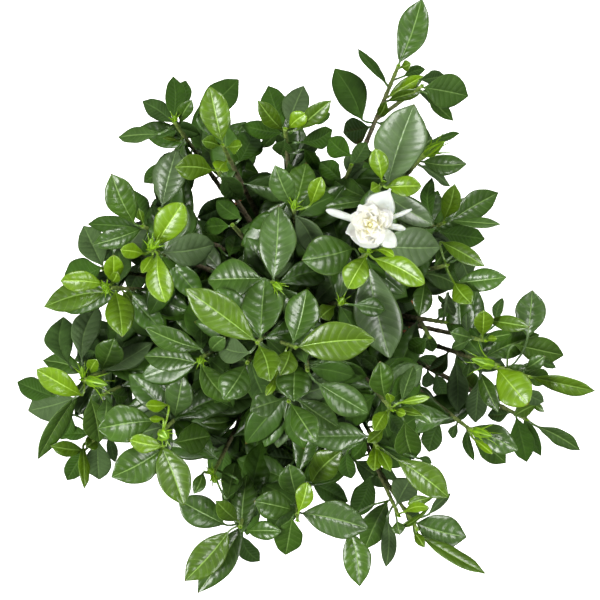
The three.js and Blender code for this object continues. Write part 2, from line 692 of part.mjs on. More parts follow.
// The leaves of a shoot, each rooted on the stem a step below the last
function shootLeaves(curves, rows, draw) {
  const placed = rows.map((row) => ({ row, ...nearestOnStems(curves, row[0], row[1]) }));
  const used = new Map();
  return placed.map(({ row, curve, length, down }, rank) => {
    const free = used.get(curve) ?? LEAF_STEP;
    const place = Math.min(Math.max(down, free), 0.8 * length);
    used.set(curve, free + LEAF_STEP);
    const root = curve.getPointAt(1 - place / length);
    return makeLeaf(root, row, leafPitch(row, rank), draw);
  });
}

// An older leaf from a place on the stem, turned to one side
function fillLeaf(root, turn, draw) {
  const size = FILL_LENGTH * (0.85 + 0.3 * draw());
  const pitch = FILL_PITCH + FILL_PITCH_RANGE * draw();
  const tip = [root.x + size * Math.cos(turn), root.y + size * Math.sin(turn)];
  const leaf = makeLeaf(root, [root.x, root.y, ...tip, size * FILL_WIDTH, D], pitch, draw);
  return { ...leaf, filler: true };
}

// Every place on a shoot where a closing leaf could stand: whorls down the stem, each turned on from the last
function closingLeaves(curve, draw) {
  const length = curve.getLength();
  const leaves = [];
  for (let level = 0; level < FILL_LEVELS; level++) {
    const root = curve.getPointAt(Math.max(0.1, 1 - (FILL_FIRST + FILL_STEP * level) / length));
    for (let side = 0; side < FILL_TURNS; side++) {
      const turn = (2 * Math.PI * (side + 0.5 * level)) / FILL_TURNS + 0.4 * draw();
      leaves.push(fillLeaf(root, turn, draw));
    }
  }
  return leaves;
}

// Pairs low on the outer shoots, each pair a quarter turn on from the last
function sideLeaves(curve, draw) {
  const length = curve.getLength();
  const top = curve.getPoint(1);
  const leaves = [];
  const start = draw() * Math.PI;
  const pairs = Math.hypot(top.x, top.y) < SIDE_MIDDLE ? 0 : SIDE_PAIRS;
  for (let pair = 0; pair < pairs; pair++) {
    const root = curve.getPointAt(Math.max(0.08, 1 - (SIDE_FIRST + SIDE_STEP * pair) / length));
    for (const half of [0, 1]) leaves.push(fillLeaf(root, start + Math.PI * (half + 0.5 * pair), draw));
  }
  return leaves.filter((leaf) => Math.hypot(leaf.tip.x, leaf.tip.y) < SIDE_REACH);
}

// The plan in square cells, which shows where the crown is still open

const covered = new Set();
// The height of the leaf that is seen at each cell
const seenHeight = new Map();
const cellOf = (x, y) => `${Math.floor(x / CELL)},${Math.floor(y / CELL)}`;

const inClearing = (x, y) => CLEARINGS.some(
  ([lowX, highX, lowY, highY]) => x > lowX && x < highX && y > lowY && y < highY,
);

function insideCrown(x, y) {
  const steps = CROWN_EDGE.length;
  const turn = (Math.atan2(y, x) / (2 * Math.PI) + 1) * steps;
  const low = Math.floor(turn);
  const edge = THREE.MathUtils.lerp(CROWN_EDGE[low % steps], CROWN_EDGE[(low + 1) % steps], turn - low);
  return Math.hypot(x, y) < edge;
}

// The places that a blade covers in plan
function footprint(leaf) {
  const curve = bladeLine(leaf);
  const way = acrossWay(leaf.base, leaf.tip);
  const places = [];
  for (const t of blend(0.1, 1, 8)) {
    const middle = curve.getPoint(t);
    const half = (leaf.width / 2) * Math.cos(leaf.roll) * leaf.outline(t);
    for (const s of [-0.9, -0.45, 0, 0.45, 0.9]) places.push(middle.clone().addScaledVector(way, s * half));
  }
  return places;
}

function cover(leaf) {
  for (const { x, y, z } of footprint(leaf)) {
    const cell = cellOf(x, y);
    covered.add(cell);
    if (!leaf.filler) seenHeight.set(cell, Math.max(z, seenHeight.get(cell) ?? 0));
  }
}

// Whether a leaf would hide a clearing, or leaves that are seen from above
function hides(places) {
  const over = places.filter(({ x, y, z }) => z > (seenHeight.get(cellOf(x, y)) ?? Infinity));
  return over.length > MOST_HIDING || places.some(({ x, y }) => inClearing(x, y));
}

// How many open cells a leaf would close, or none where it would hide something
function gain(leaf) {
  const places = footprint(leaf);
  if (hides(places)) return 0;
  const cells = new Set(places.filter(({ x, y }) => insideCrown(x, y)).map(({ x, y }) => cellOf(x, y)));
  return [...cells].filter((cell) => !covered.has(cell)).length;
}

// Settling: each leaf is bent up or down, or cut shorter, until it is clear of what already stands

const standing = [];

function boxOf(solid, margin) {
  const box = solid.boundingBox();
  return { min: box.min.map((v) => v - margin), max: box.max.map((v) => v + margin) };
}

const boxesMeet = (a, b) => [0, 1, 2].every((i) => a.min[i] < b.max[i] && b.min[i] < a.max[i]);

function stand(node, solid, outer = null) {
  standing.push({ node, solid, outer, box: boxOf(solid, CLEARANCE) });
}

function meetsOthers(node, solid, box) {
  return standing.some((other) => other.node !== node && boxesMeet(box, other.box)
    && solid.minGap(other.solid, CLEARANCE) < CLEARANCE);
}

function crossesSiblings(node, outer, box) {
  return standing.some((other) => other.node === node && other.outer && boxesMeet(box, other.box)
    && outer.minGap(other.outer, CLEARANCE) < 0.1);
}

function moved(leaf, cut, rise) {
  const tip = leaf.root.clone().lerp(leaf.tip, cut);
  tip.z += rise;
  return { ...leaf, tip, width: leaf.width * Math.sqrt(cut) };
}

function settle(node, leaf) {
  let fallback = null;
  for (const cut of CUTS) {
    for (const rise of leaf.filler ? FILL_BENDS : BENDS) {
      const trial = moved(leaf, cut, rise);
      const solid = bladeSolid(trial);
      const box = boxOf(solid, 0);
      if (meetsOthers(node, solid, box)) continue;
      const outer = bladeOuter(trial);
      if (!crossesSiblings(node, outer, box)) {
        stand(node, solid, outer);
        cover(trial);
        return solid;
      }
      fallback ??= { solid, outer, trial };
    }
  }
  if (!fallback) return null;
  stand(node, fallback.solid, fallback.outer);
  cover(fallback.trial);
  return fallback.solid;
}

// Buds

// A long thin spike with three sides
function spike(low, high, radius) {
  const frames = new THREE.LineCurve3(low, high).computeFrenetFrames(1, false);
  const ring = [0, 1, 2].map((i) => low.clone()
    .addScaledVector(frames.normals[0], radius * Math.cos((2 * Math.PI * i) / 3))
    .addScaledVector(frames.binormals[0], radius * Math.sin((2 * Math.PI * i) / 3)));
  return loft([ring, [high]]);
}

// A spindle bud with long thin calyx lobes
function budSolids(from, to, width) {
  const axis = new THREE.LineCurve3(from, to);
  const length = from.distanceTo(to);
  const solids = [limb(axis, [0.26 * width, 0.5 * width], 5, true)];
  const frames = axis.computeFrenetFrames(1, false);
  for (let k = 0; k < BUD_LOBES; k++) {
    const turn = (2 * Math.PI * (k + 0.5)) / BUD_LOBES;
    const away = frames.normals[0].clone().multiplyScalar(Math.cos(turn))
      .addScaledVector(frames.binormals[0], Math.sin(turn));
    const low = from.clone().lerp(to, 0.12);
    const high = from.clone().lerp(to, 1).addScaledVector(away, 0.55 * width + 0.32 * length);
    solids.push(spike(low, high, LOBE_RADIUS));
  }
  return solids;
}

function budOn(root, row) {
  const [x0, y0, x1, y1, width] = row;
  const reach = Math.hypot(x1 - x0, y1 - y0);
  const to = point(x1, y1, root.z + 4 + 0.8 * Math.max(reach, 5));
  return budSolids(root, to, width);
}

// Flower

function heartSolid(centre) {
  const ball = new THREE.SphereGeometry(HEART_RADIUS, 8, 6);
  ball.rotateX(Math.PI / 2);
  ball.translate(centre.x, centre.y, centre.z + HEART_RADIUS);
  return toSolid(ball);
}

function petalLeaf(centre, row, rank) {
  const [turn, length, width, rise] = row;
  const way = point(Math.cos(radians(turn)), Math.sin(radians(turn)), 0);
  const root = centre.clone().addScaledVector(way, 0.7 * HEART_RADIUS);
  root.z += 3 + 0.3 * rank;
  const tip = root.clone().addScaledVector(way, length);
  tip.z += length * Math.tan(radians(rise));
  return {
    root, base: root.clone().lerp(tip, PETAL_NECK), tip, width, roll: 0, fold: PETAL_CUP,
    arch: -0.12 + 0.004 * rank, thickness: PETAL_THICKNESS, outline: petalOutline,
  };
}

function flowerSolids(centre) {
  const petals = PETALS.map((row, rank) => {
    const leaf = petalLeaf(centre, row, rank);
    return loft([[leaf.root], ...bladeRings(leaf, [0.1, 0.5, 0.86]), [leaf.tip]]);
  });
  return [heartSolid(centre), ...petals];
}

// Wood

const stemTurn = (index) => (2 * Math.PI * (index + 0.5)) / STEM_COUNT;

// The stem that carries a shoot is the one on its side of the pot
function stemFor(shoot) {
  const turn = Math.atan2(shoot.top[1], shoot.top[0]) + 2 * Math.PI;
  return Math.floor((turn / (2 * Math.PI)) * STEM_COUNT) % STEM_COUNT;
}

function stemCurve(index) {
  const turn = stemTurn(index);
  const at = (radius, z) => point(radius * Math.cos(turn), radius * Math.sin(turn), z);
  const bend = at(STEM_RING + 2, 0.5 * (GROUND + STEM_TOP));
  return new THREE.QuadraticBezierCurve3(at(STEM_RING, GROUND), bend, at(STEM_RING + STEM_SPREAD, STEM_TOP));
}

// The part of a stem below ground is a plain round peg
function stemPeg(index, radius, low, high, sides) {
  const turn = stemTurn(index);
  const peg = new THREE.CylinderGeometry(radius, radius, high - low, sides);
  peg.rotateX(Math.PI / 2);
  peg.translate(STEM_RING * Math.cos(turn), STEM_RING * Math.sin(turn), (low + high) / 2);
  return toSolid(peg);
}

// A branch leaves its stem at a share of its length and ends just under the foot of its shoot
function branchSolid(stem, shoot, share) {
  const foot = shootCurve(shoot).getPoint(0);
  const start = stem.getPointAt(share);
  const way = shootCurve(shoot).getTangent(0);
  const end = foot.clone().addScaledVector(way, -SEAT_GAP);
  const bend = foot.clone().addScaledVector(way, -0.4 * start.distanceTo(foot));
  const curve = new THREE.QuadraticBezierCurve3(start, bend, end);
  return limb(curve, blend(BRANCH_RADIUS, SHOOT_RADIUS, 2), BRANCH_SIDES);
}

// The shoots that end further out are carried lower on the stem
function woodSolids(index) {
  const curve = stemCurve(index);
  const trunk = limb(curve, blend(STEM_RADIUS, STEM_TOP_RADIUS, 4), STEM_SIDES, true);
  const peg = stemPeg(index, STEM_RADIUS, SOIL_LEVEL - STEM_DEPTH, GROUND + 1, STEM_SIDES);
  const carried = Object.values(SHOOTS).filter((shoot) => stemFor(shoot) === index);
  carried.sort((a, b) => Math.hypot(...a.top) - Math.hypot(...b.top));
  const shares = blend(BRANCH_HIGHEST, BRANCH_LOWEST, carried.length - 1);
  return [trunk, peg, ...carried.map((shoot, rank) => branchSolid(curve, shoot, shares[rank]))];
}

// Pot

function lathe(profile) {
  const outline = profile.map(([radius, height]) => new THREE.Vector2(radius, height));
  const turned = new THREE.LatheGeometry(outline, POT_SIDES);
  turned.rotateX(Math.PI / 2);
  return toSolid(turned);
}

// The radius of the outer wall under the band at a height
const wallRadius = (z) => POT_FOOT_RADIUS
  + ((POT_RIM_RADIUS - POT_BAND_STEP - POT_FOOT_RADIUS) * z) / (POT_HEIGHT - POT_BAND_HEIGHT);

function potSolid() {
  const bandLow = POT_HEIGHT - POT_BAND_HEIGHT;
  const inner = (z) => Math.min(wallRadius(z) - POT_WALL, POT_RIM_RADIUS - POT_WALL - 2);
  const body = lathe([
    [0, 0], [POT_FOOT_RADIUS - 3, 0], [wallRadius(3), 3], [wallRadius(bandLow), bandLow],
    [POT_RIM_RADIUS - 1, bandLow + 2], [POT_RIM_RADIUS, POT_HEIGHT - 4], [POT_RIM_RADIUS - 3, POT_HEIGHT],
    [POT_RIM_RADIUS - POT_WALL, POT_HEIGHT - 1], [inner(bandLow), bandLow], [inner(POT_FLOOR), POT_FLOOR],
    [0, POT_FLOOR],
  ]);
  const holes = Array.from({ length: DRAIN_COUNT }, (_, k) => drainSolid(k));
  return holes.reduce((pot, hole) => pot.subtract(hole), body);
}

function drainSolid(k) {
  const turn = (2 * Math.PI * k) / DRAIN_COUNT;
  const hole = new THREE.CylinderGeometry(DRAIN_RADIUS, DRAIN_RADIUS, 3 * POT_FLOOR, 16);
  hole.rotateX(Math.PI / 2);
  hole.translate(DRAIN_RING * Math.cos(turn), DRAIN_RING * Math.sin(turn), POT_FLOOR / 2);
  return toSolid(hole);
}

function soilSolid() {
  const gap = POT_WALL + SEAT_GAP + 0.1;
  const low = POT_FLOOR + SEAT_GAP;
  const bandLow = POT_HEIGHT - POT_BAND_HEIGHT;
  const edge = Math.min(wallRadius(SOIL_LEVEL), POT_RIM_RADIUS - 2) - gap - 0.5;
  const body = lathe([
    [0, low], [wallRadius(low) - gap, low], [wallRadius(bandLow) - gap, bandLow], [edge, SOIL_LEVEL],
    [0.6 * edge, SOIL_LEVEL + 0.75 * SOIL_DOME], [0, SOIL_LEVEL + SOIL_DOME],
  ]);
  const holes = Array.from({ length: STEM_COUNT }, (_, index) => stemPeg(
    index, STEM_RADIUS + 0.5, SOIL_LEVEL - STEM_DEPTH - SEAT_GAP, SOIL_LEVEL + 20, STEM_SIDES,
  ));
  return holes.reduce((soil, hole) => soil.subtract(hole), body);
}

// Assembly

const plant = new THREE.Group();

// Whether every edge has one partner once the points are rounded to a step
function isSoundAt(solid, step, offset) {
  const { vertProperties, triVerts } = solid.getMesh();
  const key = (v) => [0, 1, 2].map((i) => Math.round(vertProperties[3 * v + i] / step + offset)).join();
  const edges = new Map();
  for (let i = 0; i < triVerts.length; i += 3) {
    const [a, b, c] = [key(triVerts[i]), key(triVerts[i + 1]), key(triVerts[i + 2])];
    if (a === b || b === c || a === c) continue;
    for (const edge of [`${a} ${b}`, `${b} ${c}`, `${c} ${a}`]) edges.set(edge, (edges.get(edge) ?? 0) + 1);
  }
  return [...edges].every(([edge, count]) => {
    const [from, to] = edge.split(' ');
    return count === 1 && edges.get(`${to} ${from}`) === 1;
  });
}

const isSound = (solid) => FILE_STEPS.every(
  (step) => isSoundAt(solid, step, 0) && isSoundAt(solid, step, 0.5),
);

// Joins the solids of one node, and drops the inside of any hollow that the joining closed. Where points
// would fall together in a file, the solids are raised by different hairs and all are joined again
function join(solids) {
  for (let tries = 0; ; tries++) {
    const raised = solids.map((solid, k) => solid.translate([0, 0, HAIR * ((k * tries) % HAIR_STEPS)]));
    const bodies = wasm.Manifold.union(raised).simplify(JOIN_TOLERANCE).decompose();
    const [largest] = bodies.sort((a, b) => b.volume() - a.volume());
    if (tries === MOST_TRIES || isSound(largest)) return largest;
  }
}

function addMesh(name, solid, [color, roughness]) {
  const material = new THREE.MeshStandardMaterial({ color, roughness, metalness: 0 });
  const mesh = new THREE.Mesh(toGeometry(solid), material);
  mesh.name = name;
  plant.add(mesh);
}

// The green stub that carries the young leaves and buds of a shoot
function growTip(name, main) {
  const way = main.getTangent(1);
  way.z = Math.max(way.z, STUB_UPRIGHT);
  way.normalize();
  const from = main.getPoint(1).addScaledVector(main.getTangent(1), SEAT_GAP + STUB_RAISE);
  const to = from.clone().addScaledVector(way, STUB_LENGTH);
  const curve = new THREE.LineCurve3(from, to);
  const solid = limb(curve, [STUB_RADIUS, STUB_RADIUS, 0.7 * STUB_RADIUS], SHOOT_SIDES, true);
  const node = `young_${name}`;
  stand(node, solid);
  return { node, curve, solids: [solid] };
}

// The stems of a shoot, with the node that its solids go to
function growShoot(name, shoot, seed) {
  const main = shootCurve(shoot);
  const node = `shoot_${name}`;
  const curves = [main];
  const solids = [limb(main, blend(SHOOT_RADIUS, SHOOT_TIP_RADIUS, 3), SHOOT_SIDES, !shoot.young)];
  if (shoot.twig) {
    const twig = twigCurve(shoot, main);
    curves.push(twig);
    solids.push(limb(twig, blend(TWIG_RADIUS, SHOOT_TIP_RADIUS, 3), SHOOT_SIDES, true));
  }
  for (const solid of solids) stand(node, solid);
  const tip = shoot.young ? growTip(name, main) : null;
  return { name, node, shoot, main, curves, solids, tip, draw: seeded(seed) };
}

function addBuds({ shoot, main, node, solids, tip }) {
  const root = tip ? tip.curve.getPoint(0.8) : main.getPoint(0.99);
  for (const solid of (shoot.buds ?? []).flatMap((row) => budOn(root, row))) {
    stand(tip ? tip.node : node, solid);
    (tip ? tip.solids : solids).push(solid);
  }
}

// The flower stands on its own green tube over the young tip of its shoot
function addFlower({ tip }) {
  const from = tip.curve.getPoint(0.7);
  const centre = point(...FLOWER_CENTRE, from.z + FLOWER_RISE);
  const bend = point(centre.x, centre.y, from.z + 0.4 * FLOWER_RISE);
  const end = point(centre.x, centre.y, centre.z - SEAT_GAP);
  const tube = limb(new THREE.QuadraticBezierCurve3(from, bend, end), TUBE_RADII, 6);
  stand(tip.node, tube);
  tip.solids.push(tube);
  const petals = flowerSolids(centre);
  for (const petal of petals) stand('flower_petals', petal);
  addMesh('flower_petals', join(petals), PETAL);
}

function addLeaf(node, solids, leaf) {
  const solid = settle(node, leaf);
  if (solid) solids.push(solid);
}

// The leaves that are seen from above: the young ones on the tip, and then the rest down the stem
function addLeaves({ shoot, node, curves, solids, tip, draw }) {
  const youngRows = tip ? shoot.leaves.filter((row) => row[5] === B) : [];
  const oldRows = shoot.leaves.filter((row) => !youngRows.includes(row));
  const youngLeaves = tip ? shootLeaves([tip.curve], youngRows, draw) : [];
  for (const leaf of youngLeaves) addLeaf(tip.node, tip.solids, leaf);
  for (const leaf of shootLeaves(curves, oldRows, draw)) addLeaf(node, solids, leaf);
}

// The leaves that close most of the open crown come first
function closeCrown(shoots) {
  let choices = shoots.flatMap(({ node, main, solids, draw }) => (
    closingLeaves(main, draw).map((leaf) => ({ node, solids, leaf }))
  ));
  for (const least of FILL_GAINS) {
    const left = [];
    for (const choice of choices) {
      if (gain(choice.leaf) < least) left.push(choice);
      else addLeaf(choice.node, choice.solids, choice.leaf);
    }
    choices = left;
  }
}

function clotheSides({ node, main, solids, draw }) {
  for (const leaf of sideLeaves(main, draw)) {
    if (!hides(footprint(leaf))) addLeaf(node, solids, leaf);
  }
}

addMesh('pot', potSolid(), CLAY);
addMesh('soil', soilSolid(), SOIL);

for (let index = 0; index < STEM_COUNT; index++) {
  const solid = join(woodSolids(index));
  stand(`wood_${index + 1}`, solid);
  addMesh(`wood_${index + 1}`, solid, WOOD);
}

// All stems stand first, then the buds and the flower, and then the leaves settle round them
const shoots = Object.entries(SHOOTS).map(([name, shoot], rank) => growShoot(name, shoot, FIRST_SEED + rank));
shoots.forEach(addBuds);
addFlower(shoots.find(({ name }) => name === 'flower'));
shoots.forEach(addLeaves);
closeCrown(shoots);
shoots.forEach(clotheSides);

for (const { node, solids, tip } of shoots) {
  addMesh(node, join(solids), LEAF);
  if (tip) addMesh(tip.node, join(tip.solids), YOUNG);
}

export default plant;
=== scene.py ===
# %% [markdown]
# # A gardenia bush in a clay pot
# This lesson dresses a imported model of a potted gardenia. The bush is seen from straight above:
# whorls of glossy ribbed leaves, pale young tips, green buds and one open white flower. Every piece
# is made in mesh code, in the same frame as the solids: the origin is the middle of the pot's flat
# bottom, and +Z is up. Lengths are written in millimetres, as a gardener would say them, and they
# become metres only when a mesh is made.

# %% Load the solids that everything is built around
import json
import math
import bpy
import numpy as np
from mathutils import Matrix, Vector

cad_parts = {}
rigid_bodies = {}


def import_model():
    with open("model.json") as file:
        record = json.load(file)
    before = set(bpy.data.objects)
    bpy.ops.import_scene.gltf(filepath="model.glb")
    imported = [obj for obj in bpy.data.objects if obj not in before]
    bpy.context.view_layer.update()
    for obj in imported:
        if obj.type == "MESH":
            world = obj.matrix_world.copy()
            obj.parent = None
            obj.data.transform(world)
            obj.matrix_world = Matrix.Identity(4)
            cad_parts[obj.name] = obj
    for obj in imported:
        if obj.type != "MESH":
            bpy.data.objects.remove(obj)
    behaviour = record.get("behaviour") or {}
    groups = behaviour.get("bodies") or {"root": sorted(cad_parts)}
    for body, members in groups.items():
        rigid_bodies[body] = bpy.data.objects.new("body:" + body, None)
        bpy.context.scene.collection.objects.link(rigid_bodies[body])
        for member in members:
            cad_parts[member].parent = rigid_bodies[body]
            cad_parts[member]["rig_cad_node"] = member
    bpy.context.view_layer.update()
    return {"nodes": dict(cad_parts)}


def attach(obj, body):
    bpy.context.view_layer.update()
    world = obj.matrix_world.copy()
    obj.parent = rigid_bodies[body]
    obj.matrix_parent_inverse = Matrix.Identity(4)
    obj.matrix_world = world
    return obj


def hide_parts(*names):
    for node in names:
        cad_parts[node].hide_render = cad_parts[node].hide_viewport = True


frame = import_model()
MM = 0.001

# %% [markdown]
# ## The camera
# The photograph looks straight down on the bush from far away, so that low leaves look no smaller
# than high ones. A very long lens 20 m above the crown gives that. The view is 480 mm wide at the
# height of the crown, and it is turned so that the top of the picture is +Y.

# %% The camera looks straight down
CROWN_PLANE = 360
VIEW_WIDTH = 480
CAMERA_ABOVE = 20000
SENSOR = 36

camera_data = bpy.data.cameras.new("plan_camera")
camera_data.sensor_width = SENSOR
camera_data.lens = SENSOR * CAMERA_ABOVE / VIEW_WIDTH
camera_data.clip_end = 100
camera = bpy.data.objects.new("plan_camera", camera_data)
camera.location = (0, 0, (CROWN_PLANE + CAMERA_ABOVE) * MM)
bpy.context.scene.collection.objects.link(camera)
bpy.context.scene.camera = camera
print("lens:", camera_data.lens, "mm")

# %% [markdown]
# ## Soft studio light
# A product photograph of a plant is lit by wide soft lamps in a pale room. The leaves are glossy,
# so a part of a leaf that leans towards a lamp shines, and a level part stays dull, because it
# mirrors the darker ceiling. Three wide lamps stand around the bush, and the room gets darker
# overhead.

# %% The room and three soft lamps
ROOM_COLOR = (1.0, 1.0, 0.96, 1)
WALL_LIGHT, CEILING_LIGHT = 0.2, 0.11
WALL_ENDS, CEILING_STARTS = 0.55, 0.92
LAMP_AIM = (0, 0, 0.3)

world = bpy.data.worlds.new("pale_room")
world.use_nodes = True
room = world.node_tree
background = room.nodes["Background"]
background.inputs["Color"].default_value = ROOM_COLOR
height = room.nodes.new("ShaderNodeSeparateXYZ")
room.links.new(room.nodes.new("ShaderNodeTexCoord").outputs["Generated"], height.inputs[0])
fall = room.nodes.new("ShaderNodeMapRange")
for socket, number in zip(fall.inputs, (0, WALL_ENDS, CEILING_STARTS, WALL_LIGHT, CEILING_LIGHT)):
    socket.default_value = number
room.links.new(height.outputs["Z"], fall.inputs[0])
room.links.new(fall.outputs[0], background.inputs["Strength"])
bpy.context.scene.world = world
bpy.context.scene.view_settings.view_transform = "Standard"


def soft_lamp(name, place, side, power, color):
    """A square lamp, side and place in metres, which looks at the lower crown."""
    data = bpy.data.lights.new(name, "AREA")
    data.shape = "SQUARE"
    data.size, data.energy, data.color = side, power, color
    lamp = bpy.data.objects.new(name, data)
    lamp.location = place
    lamp.rotation_euler = (Vector(LAMP_AIM) - Vector(place)).to_track_quat("-Z", "Y").to_euler()
    bpy.context.scene.collection.objects.link(lamp)


soft_lamp("west_lamp", (-1.6, -0.6, 2.1), 1.05, 88, (1.0, 1.0, 0.98))
soft_lamp("north_lamp", (0.8, 1.5, 2.2), 1.05, 68, (1.0, 1.0, 0.99))
soft_lamp("east_lamp", (1.5, -1.0, 2.2), 1.0, 38, (1.0, 1.0, 1.0))
